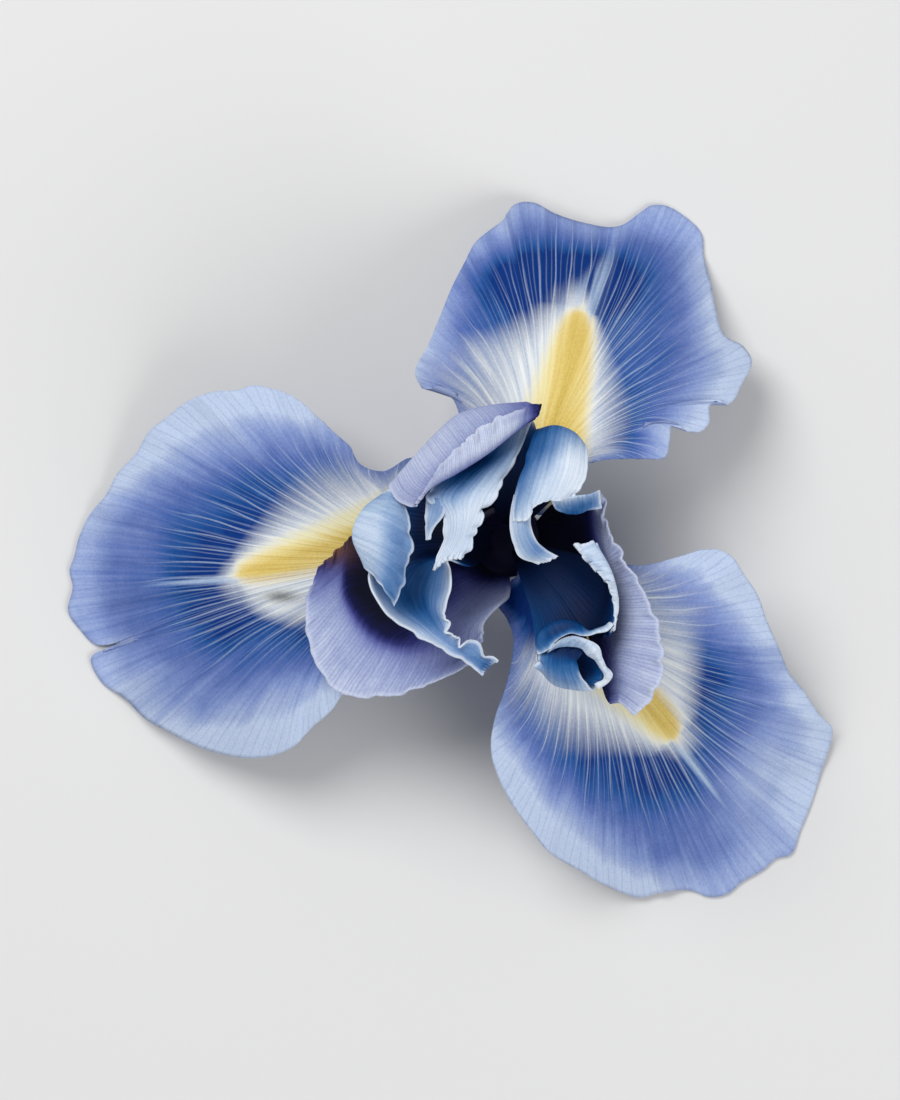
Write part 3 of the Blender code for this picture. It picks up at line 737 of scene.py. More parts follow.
# %% Standard shapes
# Rows from the claw to the margin, each row running clockwise side first: x, y, height, tone.
# The tone holds the petal's own colour and painted shade together.
STANDARDS = {
    "standard_upper_left": [
        [(-1.6, 5.4, 18.6, 0), (-3.5, 4.4, 18.6, 0), (-5.1, 2.8, 18.6, 0)],
        [(-1.2, 9.6, 24.5, 0.1), (-5.2, 8, 24.5, 0.1), (-9.5, 4, 24.5, 0.1)],
        [(0, 16.5, 31, 0.4), (-4, 15.8, 31, 0.4), (-10, 11.6, 31, 0.4), (-15, 6.5, 31, 0.4)],
        [(2.5, 21.5, 38, 0.5), (-3, 20.9, 38, 0.7), (-7.2, 19.9, 37.8, 0.8), (-11.2, 16.6, 37.4, 0.84),
         (-14.4, 13.2, 37, 0.88), (-18.4, 8.6, 36, 0.88)],
        [(5, 20.9, 41, 0.4), (-1.5, 20, 42, 0.78), (-6.6, 16.8, 42.6, 0.86), (-10.8, 12.8, 42.4, 0.9),
         (-14.2, 9.4, 41.6, 0.88), (-17.2, 6.2, 39.6, 0.9)],
        [(4.7, 19.6, 43.4, 0.2), (1.2, 17, 44.6, 0.36), (-3.6, 13.4, 45, 0.4), (-8.2, 10.4, 44.8, 0.45),
         (-12, 8.2, 43.8, 0.7), (-14.6, 5.2, 41.8, 0.85)],
        [(5.3, 20.1, 44.4, 0.15), (1.6, 18, 46.2, 0.9), (-3, 14.6, 47, 0.95), (-7.8, 11.6, 46.8, 0.9),
         (-11.6, 9.2, 45, 0.9), (-14.2, 6, 42.6, 0.9)],
        [(5.6, 21.8, 44.6, 0.05), (2.2, 20.6, 46.8, 0.7), (-2.6, 18.6, 47.8, 1), (-7, 15.2, 47.6, 1),
         (-10.6, 11.6, 45.8, 0.95), (-13.2, 7.4, 43.4, 0.9)],
    ],
    "standard_right": [
        [(5.2, -1.2, 18.6, 0), (5.5, 0.9, 18.6, 0), (5, 2.9, 18.6, 0)],
        [(9, -5, 24, 0), (9.6, 0.5, 23.5, 0), (8.2, 6.2, 24.6, 0)],
        [(13.5, -16, 29, 0.02), (13.6, -6.5, 28.6, 0), (13, 0, 28.6, 0.05), (12.6, 7.2, 29.4, 0.1)],
        [(16.2, -25.6, 31.5, 0.2), (16.6, -16.5, 31.5, 0.4), (16.8, -7, 32, 0.5), (15, 0.5, 31.5, 0.6),
         (14.3, 5, 31.8, 0.6)],
        [(18.3, -26.2, 34.4, 0.7), (18.6, -17, 34.8, 0.8), (18.4, -8.5, 34, 0.88), (16, -0.8, 33.5, 0.85),
         (15, 4.6, 33.4, 0.8)],
        [(20.5, -28.2, 36, 0.98), (23.4, -25.4, 37, 0.95), (25.2, -20, 37.5, 0.9), (24.4, -14, 37.4, 0.88),
         (22.2, -8.6, 36.8, 0.86), (18.6, -2.6, 36, 0.86), (16.2, 2.2, 35, 0.85), (15.2, 7.4, 35, 0.75)],
    ],
    "standard_lower_left": [
        [(-4.2, -3.4, 18.6, 0), (-2, -5.2, 18.6, 0), (0.8, -5.6, 18.6, 0.1)],
        [(-9.8, -3, 24.6, 0), (-6, -7.2, 23.4, 0.4), (0.8, -8.8, 24.2, 0.76)],
        [(-17, -3.5, 27.4, 0), (-13, -9.5, 26.4, 0.1), (-8, -12, 26.4, 0.6), (-0.9, -10.4, 27.6, 0.8)],
        [(-23.8, 0.6, 28.4, 0.05), (-24, -9, 27, 0.04), (-18, -15, 26.6, 0.1), (-10.5, -16.4, 26.8, 0.5),
         (-3.3, -13.2, 28, 0.84)],
        [(-26, -0.8, 28.5, 0.15), (-26.7, -10.4, 27.3, 0.68), (-21.6, -17.8, 26.6, 0.7),
         (-13.4, -19.2, 26.8, 0.62), (-7.6, -18.4, 27.3, 0.62), (-3.6, -15, 28.2, 0.8)],
        [(-28.2, -2.8, 28.6, 0.2), (-29.6, -11, 27.6, 0.76), (-26, -20.4, 26.8, 0.84),
         (-17, -22.2, 27, 0.8), (-9.4, -20.6, 27.6, 0.62), (-3.9, -16.8, 28.4, 0.62)],
        [(-30.2, -4.6, 28.6, 0.3), (-32.1, -10.5, 28, 0.82), (-30.9, -19, 27.4, 0.92),
         (-27.2, -24.4, 26.8, 0.94), (-20.5, -25.4, 27.2, 0.92), (-12.6, -23.4, 27.6, 0.85),
         (-7.4, -21, 28.2, 0.7), (-4.5, -19.2, 28.6, 0.6)],
    ],
}
for name, rows in STANDARDS.items():
    print(name, "has", len(rows), "rows")


# %% [markdown]
# ## Frilled margins
# The margins of standards and style arms are not smooth lines: they curl up and down in small uneven waves.
# The waves are added to the net itself, not painted as bump, so they show in the outline too. They act only
# within a few millimetres of a free margin and die out towards the foot.


# %% Frills
def uneven(x, waves, seed):
    """A wave whose size swells and fades along the margin, so that no two curls look alike."""
    return wavy(x, waves, seed) * (0.55 + 0.45 * wavy(x, 1.3, seed + 5))


SIDEWAYS, ONWARD = 0.55, 0.45  # how much of each wave also moves the margin in and out


def frilled(net, amount, width, waves, seed, start, shares):
    """Waves along a sheet's left, right and end margins: along its normals, and a little in and out."""
    u = np.linspace(0, 1, net.shape[0])[:, None]
    v = np.linspace(0, 1, net.shape[1])[None, :]
    place = net[..., :3]
    fade = smoothstep(start, start + 0.12, u)
    left, right, end = (
        (1 - smoothstep(0, width, distance)) * uneven(where, waves, seed + 10 * k) * fade * shares[k]
        for k, (distance, where) in enumerate(zip(margins(net), (u, u, v)))
    )
    across = unit(np.gradient(place, axis=1))
    onward = unit(np.gradient(place, axis=0))
    moved = place + (amount * (left + right + end))[..., None] * normals_of(place)
    moved = moved + (SIDEWAYS * amount * (left - right))[..., None] * across
    moved = moved - (ONWARD * amount * end)[..., None] * onward
    return np.concatenate([moved, net[..., 3:]], axis=2)


# %% Numbers for the standards and style arms
# Painted shade: a dark brown corner of the lowest standard, where it dips under the left style arm.
BROWN_SHADE_PATCH = (-27.6, -1.2), (3, 2.6)  # a brown corner of the lowest standard: place and radii


def net_fields(net):
    """Tone, spread of the veins, distance from the flower's axis, and the brown patch of painted shade."""
    foot = np.hypot(net[..., 0], net[..., 1])
    return {"tone": net[..., 3], "spread": vein_spread(net), "foot": foot, "brown_shade": patch(net, *BROWN_SHADE_PATCH),
            "beside": np.full(foot.shape, 9.0)}


# %% [markdown]
# ## The standards' finish
# The same velvet as the falls, but lavender: deep violet down in the claw, near black where the tone paints
# shade, pale at the margin, with fine purple veins that show only where the petal is light enough.

# %% Lavender velvet
# Low tones are painted shade in the claw and the creases; high tones are the petal's own pale lavender.
LAVENDERS = {0.0: (6, 8, 30), 0.15: (14, 18, 64), 0.3: (48, 52, 114), 0.5: (96, 104, 164),
             0.7: (138, 150, 194), 0.85: (168, 179, 213), 1.0: (202, 212, 234)}


def standard_finish():
    """Lavender petal: violet to near black (painted shade) in the claw, pale at the margin, fine purple
    veins.
    """
    f = Finish("standard_lavender_velvet", VELVET_ROUGHNESS)
    streak = f.noise(f.veins(across=46, along=1.3, seed=2.0), detail=2.5, roughness=0.6)
    fine = f.noise(f.veins(across=140, along=2.5, seed=6.0), detail=1.5)
    cloud = f.noise(f.place(), scale=220, detail=2)
    twigs = vein_lines(f, count=64, width_mm=0.20, wander=2.0, seed=4.0)
    bright = f.field("tone")
    parts = (f.minus(streak, 0.5), 0.22), (f.minus(cloud, 0.5), 0.12)
    body = f.ramp(f.total(bright, *parts, clamp=True), LAVENDERS)
    lit = f.span(bright, 0.35, 0.7)
    body = f.tint(body, (92, 90, 148), twigs, 0.22, lit)
    body = f.tint(body, (92, 92, 150), f.span(fine, 0.5, 0.66), 0.16, lit)
    edge = f.fading(f.field("rim"), 0.1, 1.0)
    body = f.tint(body, (208, 216, 236), edge, f.span(bright, 0.4, 0.8), 0.5)
    # the brown patch of painted shade on the lowest standard's corner
    body = f.tint(body, (112, 78, 56), f.field("brown_shade"), 0.9)
    f.colour(f.speckled(body, f.grain(), 0.10, (110, 110, 160)))
    f.bump(f.total(f.times(streak, 0.6), (fine, 0.3), (twigs, -0.15)), distance_mm=0.25, strength=0.5)
    return f.mat


STANDARD = standard_finish()
print(STANDARD.name, "has", len(STANDARD.node_tree.nodes), "nodes")

# %% Build the standards
STANDARD_MM = 0.35  # thickness
STANDARD_COLUMNS = 200
for seed, (name, rows) in enumerate(STANDARDS.items()):
    frill = {"amount": 0.5, "width": 2.6, "waves": 9, "start": 0.55, "shares": (1, 1, 1.4)}
    net = frilled(loft(rows, STANDARD_COLUMNS), seed=40 + 3 * seed, **frill)
    petal = sheet(f"petal_{name}", [net], [STANDARD], STANDARD_MM, [net_fields(net)])
    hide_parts(name)


# %% [markdown]
# ## The style arms
# In an iris the style is petal-like too: three arms arch out over the stamens and end in two crest lobes
# each, which curl back towards the middle. Each arm is lofted as two half strips, the clockwise one and the
# anticlockwise one, that share their middle line until the arm parts. Small extra sheets make the hooks and
# torn teeth at the lobes' ends. Tone is the fourth number here as well: dark in the throat, in the cups and
# under the standards' edges, which is painted shade over the arms' own blue, and nearly white along the
# frilled margins.

# %% The left style arm
LEFT_CLOCKWISE = [
    [(-1.6, 1.6, 18.4, 0), (-2.1, 0.7, 18.4, 0), (-2.3, -0.3, 18.4, 0)],
    [(-6, 3.6, 27, 0), (-6.5, 1.5, 27, 0), (-6.5, -0.6, 27, 0)],
    [(-12, 6, 32, 0.05), (-12.6, 3.5, 32, 0.05), (-13, 1, 32, 0.05), (-13, -1.5, 32.5, 0.1)],
    [(-17, 7, 34.3, 0.4), (-18.8, 5, 35.2, 0.5), (-19.6, 1.5, 35.8, 0.5), (-19.5, -2.8, 36, 0.35)],
    [(-19.5, 7.2, 36, 0.5), (-22.6, 4.8, 37.8, 0.68), (-24.3, 1, 38.8, 0.8), (-22.4, -4, 39, 0.72)],
    [(-18.8, 7.6, 37.4, 0.62), (-20.5, 4.5, 40.2, 0.78), (-21.2, 0, 41.4, 0.84), (-20.5, -6.5, 40.4, 0.66)],
    [(-17.8, 7.2, 37.8, 0.66), (-17.8, 4.5, 40.6, 0.68), (-17.8, -0.5, 41.6, 0.56), (-18.8, -9, 40, 0.42)],
    [(-17, 6.6, 37.6, 0.7), (-15.6, 3.6, 39.6, 0.66), (-15.2, -0.5, 40, 0.6), (-16.3, -6.3, 39.5, 0.5),
     (-17.8, -10.8, 38.5, 0.6)],
]
LEFT_ANTICLOCKWISE = [
    [(-2.3, -0.3, 18.4, 0), (-2.2, -1.1, 18.4, 0), (-1.9, -1.8, 18.4, 0)],
    [(-6.5, -0.6, 27, 0), (-6.3, -1.6, 26.6, 0), (-6, -2.6, 26.6, 0), (-5.2, -4.2, 27.6, 0.1)],
    [(-13, -1.5, 32.5, 0.1), (-12.3, -2, 32, 0.05), (-11.3, -2.5, 32.2, 0.1), (-10.2, -2.8, 34, 0.3),
     (-9.3, -3, 37, 0.8)],
    [(-19.5, -2.8, 36, 0.35), (-17.5, -4, 34, 0.22), (-14, -4.8, 33, 0.32), (-10.4, -5, 35, 0.5),
     (-9, -5, 38.3, 0.95)],
    [(-21.8, -6, 38.8, 0.85), (-19, -7.6, 35, 0.35), (-14, -8, 33.3, 0.3), (-10.6, -7.8, 35.5, 0.56),
     (-8.9, -7.5, 39, 0.9)],
    [(-19.4, -11.3, 39, 0.95), (-17.2, -11.3, 36, 0.5), (-13.3, -10.8, 34.5, 0.28),
     (-11.2, -10.6, 36.5, 0.6), (-9.7, -10.6, 39, 0.9)],
    [(-15, -14.6, 39, 0.95), (-13.9, -13.8, 37.5, 0.6), (-12.3, -13.2, 36.6, 0.4),
     (-10.8, -12.8, 37.5, 0.5), (-9.7, -13, 39, 0.95)],
    [(-11.3, -16.9, 38.8, 0.95), (-10.6, -16.1, 38, 0.7), (-10, -15.6, 38, 0.55), (-9.2, -15.2, 38.4, 0.7),
     (-8.5, -15.4, 39, 0.95)],
    [(-7.2, -19.1, 38.4, 0.9), (-7.1, -18.3, 38, 0.6), (-7, -17.6, 38, 0.55), (-6.8, -17, 38.2, 0.6),
     (-6.6, -16.6, 38.6, 0.9)],
    [(-3.6, -21.8, 37.5, 0.7), (-3.2, -21, 37.5, 0.45), (-2.6, -20.4, 37.6, 0.4), (-1.8, -19.7, 37.8, 0.5),
     (-0.9, -19, 38, 0.75)],
]
print("left style arm:", len(LEFT_CLOCKWISE), "and", len(LEFT_ANTICLOCKWISE), "rows")

# %% The right style arm
RIGHT_CLOCKWISE = [
    [(1.1, -2.1, 18.4, 0), (1.5, -1.7, 18.4, 0), (1.8, -1.3, 18.4, 0)],
    [(2.2, -5.6, 26.4, 0.1), (3.4, -5, 26.4, 0.05), (4.5, -4.1, 26.4, 0.05)],
    [(4.2, -12, 31, 0.2), (6.6, -11, 30.6, 0.16), (8.8, -9, 30.4, 0.14)],
    [(4.9, -17, 34.6, 0.3), (8, -16, 33, 0.1), (12.4, -14.5, 32.4, 0.06)],
    [(5, -18.6, 36, 0.55), (8, -19, 33, 0.1), (11, -19.2, 32.5, 0.05), (14.5, -19.3, 33, 0.02)],
    [(5.2, -20, 36.6, 0.75), (8, -23, 35.4, 0.7), (11, -23.7, 35, 0.72), (14.3, -24, 35.2, 0.8)],
    [(5.1, -19.8, 37.6, 0.75), (7.6, -21.8, 38, 0.52), (10.4, -22.6, 37.8, 0.54), (13, -22.9, 37.2, 0.7)],
    [(5.2, -19, 38.2, 0.6), (7.4, -20, 38.9, 0.34), (9.8, -20.6, 38.8, 0.34), (11.7, -21.2, 38.3, 0.45)],
    [(5.4, -18.2, 38.2, 0.5), (7.4, -18.2, 38.6, 0.18), (9.6, -18.4, 38.7, 0.13),
     (11.5, -19.4, 38.4, 0.16)],
    [(5.6, -17.6, 37.6, 0.4), (7.6, -16.8, 38, 0.1), (10, -16.8, 38.2, 0.08), (12.6, -17.8, 38, 0.08)],
]
RIGHT_ANTICLOCKWISE = [
    [(1.8, -1.3, 18.4, 0), (2.1, -0.8, 18.4, 0), (2.3, -0.2, 18.4, 0)],
    [(4.5, -4.1, 26.4, 0.05), (5.8, -2.7, 26.4, 0.04), (6.9, -1.2, 26.8, 0.02)],
    [(8.8, -9, 30.4, 0.14), (11.3, -6.5, 30.6, 0.1), (12, -2.5, 32, 0.03)],
    [(12.4, -14.5, 32.4, 0.06), (14.9, -9, 33.4, 0.06), (14.6, -3.4, 34.6, 0.05)],
    [(14.8, -15.6, 34.6, 0.05), (16.6, -9.6, 35.6, 0.05), (15.6, -3.2, 37, 0.1)],
    [(16.4, -15.2, 37.2, 0.2), (17.6, -10.5, 37.6, 0.3), (16.6, -5.2, 38.6, 0.5), (14.6, -1.2, 39, 0.6)],
    [(17, -14.2, 38.8, 0.95), (17.8, -11.3, 39, 0.95), (17, -6.2, 39.6, 0.85), (13.6, -0.3, 40.2, 0.8)],
    [(17.2, -14, 39.4, 0.9), (17.3, -11.4, 39.6, 0.9), (16.3, -7.4, 40.2, 0.9), (12.8, -3.4, 40.6, 0.85),
     (11, -1, 40.6, 0.95)],
]
print("right style arm:", len(RIGHT_CLOCKWISE), "and", len(RIGHT_ANTICLOCKWISE), "rows")

# %% [markdown]
# ## The rolled lobe of the right style arm
# One lobe of this arm is rolled up like a shell. Its hood runs from a wavy pale lip back over the dome and
# down inside, where its tone goes dark as painted shade. A pale strip folds in under the lip and goes on
# round the mouth. A dark sheet is the inside of the roll, seen through the mouth; its near black is painted
# shade. Three small sheets that touch look like one rolled petal and are far easier to place than one sheet
# wound round itself.

# %% Hood, mouth and inside
# From the lip back over the dome and down inside.
HOOD = [
    [(5.3, -18.4, 38.9, 0.9), (6.9, -17.5, 39.7, 0.95), (7.9, -16.3, 40.2, 0.95), (9.3, -15.3, 40.5, 0.95),
     (10.5, -14.9, 40.6, 0.95), (12, -15.3, 40.6, 0.95), (13.2, -15.4, 40.5, 0.95), (14.6, -15, 40.3, 0.95),
     (16.2, -14.7, 40, 0.95), (17.3, -13.7, 39.5, 0.95)],
    [(5.15, -18, 38.8, 0.5), (6.3, -17, 39.7, 0.4), (7.4, -15.8, 40.3, 0.26), (9, -14.8, 40.6, 0.22),
     (10.5, -14.4, 40.7, 0.22), (12.2, -14.8, 40.6, 0.36), (13.4, -15, 40.3, 0.6), (14.8, -14.6, 40.1, 0.8),
     (16.1, -14.3, 39.8, 0.9), (17, -13.4, 39.3, 0.9)],
    [(5.1, -17.4, 38, 0.4), (5.5, -15.6, 39, 0.35), (6.8, -14.1, 39.7, 0.24), (8.8, -13.2, 40, 0.18),
     (10.4, -13.2, 40, 0.16), (12, -13.9, 39.7, 0.2), (13.3, -14.8, 39.4, 0.3), (14.8, -14.4, 39.2, 0.5),
     (16, -14, 39, 0.7), (16.8, -13.4, 38.8, 0.7)],
    [(5.2, -17.4, 36.6, 0.2), (5.6, -15.6, 37.2, 0.15), (6.9, -14, 37.8, 0.12), (8.8, -13.1, 37.9, 0.1),
     (10.4, -13.1, 37.8, 0.1), (12, -13.8, 37.6, 0.08), (13.2, -14.7, 37.4, 0.08), (14.8, -14.5, 37, 0.1),
     (15.8, -14.2, 36.8, 0.1), (16.6, -13.6, 36.8, 0.2)],
    [(5.3, -17.8, 35.6, 0.1), (6, -16, 35.2, 0.08), (7.4, -14.6, 35, 0.06), (9, -14, 34.8, 0.05),
     (10.6, -14, 34.8, 0.05), (12, -14.4, 34.6, 0.05), (13.2, -14.8, 34.5, 0.04), (14.6, -14.8, 34.4, 0.04),
     (15.6, -14.5, 34.4, 0.04), (16.3, -14.2, 34.6, 0.05)],
]
MOUTH_STRIP = [
    [(6.6, -17.9, 38.9, 0.5), (8, -17.2, 39, 0.6), (10.4, -16.95, 39, 0.65), (12.2, -17.3, 38.9, 0.75),
     (13.2, -18.4, 38.6, 0.85), (14.3, -19, 38.4, 0.9), (15.2, -20.3, 38, 0.95), (15.9, -21.5, 37.6, 0.95),
     (15.7, -22.3, 37, 0.9), (14.4, -23.2, 36.4, 0.9)],
    [(6.8, -17.5, 39.4, 0.7), (8.4, -16.5, 39.6, 0.75), (10.6, -16, 39.8, 0.72), (12.8, -16.4, 39.9, 0.8),
     (14.1, -17.6, 39.7, 0.9), (14.9, -19, 39.1, 0.9), (15.8, -20.6, 38.5, 0.95), (16.4, -21.6, 37.9, 1),
     (16.2, -22.4, 37.2, 1), (14.6, -23.5, 36.7, 1)],
    [(7, -17.2, 39.5, 0.85), (8.6, -15.9, 39.8, 0.6), (10.8, -15.3, 40.1, 0.5), (13, -15.9, 40, 0.6),
     (14.7, -17, 39.4, 0.8), (15.3, -18.8, 38.8, 0.85), (16.3, -20.5, 38.1, 0.95),
     (16.9, -21.4, 37.5, 0.95), (16.4, -22.6, 36.9, 0.9), (14.7, -23.9, 36.3, 0.9)],
]
# The inside of the roll, nearly black: painted shade.
SHADED_ROLL_INSIDE = [
    [(10.5, -17.6, 37.6, 0.06), (12.6, -18.2, 37.6, 0.08), (14.2, -19.4, 37.4, 0.12), (15.6, -21, 37, 0.3),
     (15.2, -22.6, 36.4, 0.35), (14, -23.4, 36, 0.3)],
    [(9.6, -19, 36.2, 0.03), (11.4, -19.6, 36, 0.03), (12.8, -20.4, 35.8, 0.05), (13.8, -21.4, 35.6, 0.12),
     (13.4, -22.4, 35.4, 0.2), (12.6, -23, 35.2, 0.2)],
    [(9, -20.4, 35.4, 0.02), (10.2, -21, 35.2, 0.02), (11.2, -21.5, 35, 0.02), (11.6, -22, 35, 0.03),
     (11.4, -22.4, 35, 0.05), (11, -22.8, 35, 0.05)],
]
ROLLED_LOBE = [HOOD, MOUTH_STRIP, SHADED_ROLL_INSIDE]
print("rolled lobe:", [len(rows) for rows in ROLLED_LOBE], "rows")

# %% The upper style arm
UPPER_CLOCKWISE = [
    [(2, 1.6, 18.4, 0), (1.5, 2, 18.4, 0), (0.9, 2.3, 18.4, 0)],
    [(5, 4, 27, 0), (3.7, 5, 27, 0), (2, 5.4, 27, 0)],
    [(9.5, 8.5, 34, 0.1), (7, 10.2, 34, 0.05), (4, 11, 34, 0.05)],
    [(12, 12.5, 38.4, 0.5), (9.5, 14.6, 38.8, 0.35), (7, 15.7, 38.8, 0.22), (5, 16, 38.6, 0.15)],
    [(12.7, 14.8, 41.2, 0.75), (10.8, 17, 41.8, 0.48), (8, 18, 41.8, 0.34), (4.8, 17.3, 41.4, 0.26)],
    [(13, 12.3, 43.4, 0.95), (10, 13.8, 44.6, 0.86), (7, 14.2, 44.4, 0.5), (3.8, 14.6, 43.2, 0.22)],
    [(12.6, 9.8, 44, 0.97), (9.5, 10.4, 45.4, 0.96), (6, 10.6, 45.2, 0.72), (2.7, 11.2, 43.8, 0.26)],
    [(11.6, 7.8, 44.2, 0.95), (8.3, 7.2, 45.2, 0.93), (5.2, 6.8, 45.4, 0.85), (3.2, 5.8, 45.2, 0.72),
     (1.2, 5.2, 44.3, 0.55)],
    [(11.2, 6.8, 44, 0.85), (8.2, 6.3, 44.9, 0.9), (6, 6.1, 45.2, 0.9), (4.4, 5, 45.3, 0.9),
     (3.5, 3.4, 45, 0.95), (0.95, 2.8, 44.2, 0.85)],
]
UPPER_ANTICLOCKWISE = [
    [(0.9, 2.3, 18.4, 0), (0.3, 2.5, 18.4, 0), (-0.4, 2.6, 18.4, 0)],
    [(2, 5.4, 27, 0), (0.2, 5.4, 27, 0), (-1.8, 5, 27, 0)],
    [(4, 11, 34, 0.05), (0.5, 10.6, 34, 0.05), (-3, 9.5, 34, 0.1)],
    [(5, 16, 38.6, 0.2), (1, 15.6, 37.8, 0.3), (-3, 14, 37.4, 0.3)],
    [(4.3, 18.9, 40.4, 0.7), (2, 17.8, 40.6, 0.65), (-0.5, 16.2, 40.4, 0.5), (-2.7, 15.2, 40, 0.3)],
    [(2.8, 15.4, 41.4, 0.78), (0.5, 14, 41.8, 0.56), (-2.8, 12.8, 41.6, 0.22), (-6, 12, 41.2, 0.15)],
    [(0.6, 11, 41.8, 0.88), (-2.5, 10.3, 42.4, 0.66), (-6, 10, 42.2, 0.3), (-9.8, 9.8, 41.5, 0.34)],
    [(-1.8, 7, 41.8, 0.95), (-5, 6.7, 42.6, 0.86), (-8.6, 6.6, 42.4, 0.62), (-12.5, 7.2, 41.2, 0.68)],
    [(-3.8, 3.4, 41.6, 0.92), (-6, 3.7, 42.4, 0.95), (-8.4, 3.9, 42.2, 0.88), (-10.2, 4.6, 41.4, 0.9)],
    [(-5.2, 0.2, 41.2, 0.8), (-6.8, 0.4, 41.8, 0.9), (-8.4, 0.6, 41.6, 0.85), (-9.9, 0.4, 41, 0.9)],
    [(-6.4, -2.8, 40.8, 0.85), (-8, -3, 41.2, 0.95), (-9.6, -3.4, 41, 0.95), (-11.6, -5, 40.4, 0.95)],
]
print("upper style arm:", len(UPPER_CLOCKWISE), "and", len(UPPER_ANTICLOCKWISE), "rows")

# %% The upper arm's hook, tooth and flap
# The hook at the end of the right-hand lobe.
HOOK = [
    [(4.8, 7, 44.4, 0.75), (3.4, 7, 44.8, 0.65), (1.4, 7.2, 44, 0.6)],
    [(4, 4.8, 44, 0.7), (2.6, 4.8, 44.6, 0.7), (0.9, 4.8, 43.8, 0.9)],
    [(3.9, 2.4, 43.6, 0.7), (2.6, 2.2, 44.2, 0.7), (0.75, 2.2, 43.4, 0.95)],
    [(4.8, 0, 43.4, 0.55), (3.3, -0.2, 43.8, 0.6), (1.2, -0.4, 43, 0.95)],
    [(6.4, -1.6, 43, 0.5), (4.9, -2.2, 43.4, 0.6), (2.2, -2.6, 42.6, 0.95)],
    [(8.4, -2.6, 42.4, 0.9), (7.2, -3.2, 42.6, 0.95), (5.2, -3.7, 42.2, 0.95)],
]
# A torn tooth beside the left-hand lobe.
TOOTH = [
    [(-9.2, 6.6, 42, 0.6), (-11, 6.6, 41.8, 0.55), (-12.6, 6.8, 41, 0.6)],
    [(-9.8, 4, 41.8, 0.7), (-11.2, 4, 41.6, 0.65), (-12.75, 4, 40.8, 0.85)],
    [(-11.3, 2, 41.4, 0.75), (-12, 2, 41.2, 0.7), (-12.7, 2, 40.6, 0.85)],
    [(-12.1, 0.2, 41, 0.85), (-12.25, 0.1, 40.9, 0.85), (-12.45, 0, 40.6, 0.9)],
]
# A curled flap at the foot of the right-hand lobe.
FLAP = [
    [(7.2, 6.4, 44.6, 0.85), (9.2, 6.6, 44.6, 0.9), (11.6, 6.9, 44.4, 0.8), (13.4, 7.1, 44, 0.7),
     (15.1, 7.8, 43.2, 0.75)],
    [(7.5, 5.6, 43.6, 0.6), (9.2, 5.3, 43.2, 0.55), (11.4, 5.4, 42.8, 0.4), (13.2, 5.8, 42.6, 0.45),
     (15.2, 6.4, 42, 0.6)],
    [(7.9, 5, 42.8, 0.45), (9.4, 4.2, 42, 0.35), (11.2, 4, 41.6, 0.3), (13.2, 4.6, 41.4, 0.4),
     (15.4, 5, 41, 0.6)],
]
# Each arm's clockwise half, anticlockwise half, extra sheets, and how strongly the anticlockwise half is
# frilled on its left, on its right and at its end.
STYLE_ARMS = {
    "style_arm_left": (LEFT_CLOCKWISE, LEFT_ANTICLOCKWISE, [], (0.7, 2.4, 1)),
    "style_arm_right": (RIGHT_CLOCKWISE, RIGHT_ANTICLOCKWISE, ROLLED_LOBE, (1, 1, 1.9)),
    "style_arm_upper": (UPPER_CLOCKWISE, UPPER_ANTICLOCKWISE, [HOOK, TOOTH, FLAP], (1.3, 1.2, 1)),
}
print("extra sheets:", sum(len(arm[2]) for arm in STYLE_ARMS.values()))

# %% [markdown]
# ## The style arms' finish
# Smoother and shinier than the petals, like satin: pale blue with nearly white margins, partly the arms' own
# pale edge and partly painted highlight, and a steel blue that goes nearly black in the hollows and cups,
# which is painted shade carried by the tone.

# %% Pale blue satin
# Low tones are painted shade in the hollows and cups; high tones are the pale margins.
STEEL_BLUES = {0.0: (2, 12, 38), 0.12: (4, 36, 82), 0.25: (12, 72, 130), 0.4: (56, 104, 158),
               0.55: (104, 137, 183), 0.7: (150, 175, 208), 0.85: (194, 211, 233), 1.0: (224, 234, 246)}
SATIN_ROUGHNESS = 0.5


def style_finish():
    """Pale blue arm: white margins (part painted highlight), dark hollows (painted shade), soft streaks
    along it.
    """
    f = Finish("style_pale_blue_satin", SATIN_ROUGHNESS)
    streak = f.noise(f.veins(across=16, along=1.6, seed=4.0), detail=3, roughness=0.6)
    fine = f.noise(f.veins(across=60, along=3, seed=8.0), detail=2)
    cloud = f.noise(f.place(), scale=260, detail=2)
    lines = vein_lines(f, count=13, width_mm=0.16, wander=1.5, seed=3.0)
    bright = f.field("tone")
    tone = f.total(bright, (f.minus(streak, 0.5), 0.34), (f.minus(cloud, 0.5), 0.12))
    body = f.ramp(f.mix(f.span(bright, 0.1, 0.3), bright, tone), STEEL_BLUES)
    # Nearly white along the rims: the arm's own pale edge, and a painted highlight on its curled margins.
    edge = f.fading(f.field("rim"), 0.05, 0.75)
    body = f.tint(body, (222, 232, 245), edge, f.span(bright, 0.35, 0.6), 0.75)
    lit = f.span(bright, 0.35, 0.7)
    body = f.tint(body, (90, 112, 160), lines, 0.13, lit)
    body = f.tint(body, (84, 106, 156), f.span(fine, 0.5, 0.7), 0.13, lit)
    f.colour(f.speckled(body, f.grain(), 0.08, (110, 116, 160)))
    f.bump(f.total(f.times(streak, 0.6), (fine, 0.4), (lines, -0.2)), distance_mm=0.3, strength=0.4)
    return f.mat


STYLE = style_finish()
print(STYLE.name, "has", len(STYLE.node_tree.nodes), "nodes")

# %% Build the style arms
STYLE_MM = 0.3  # thickness
ARM_COLUMNS = 60
SPLIT_ROW = 3  # up to this row the two halves share their middle line


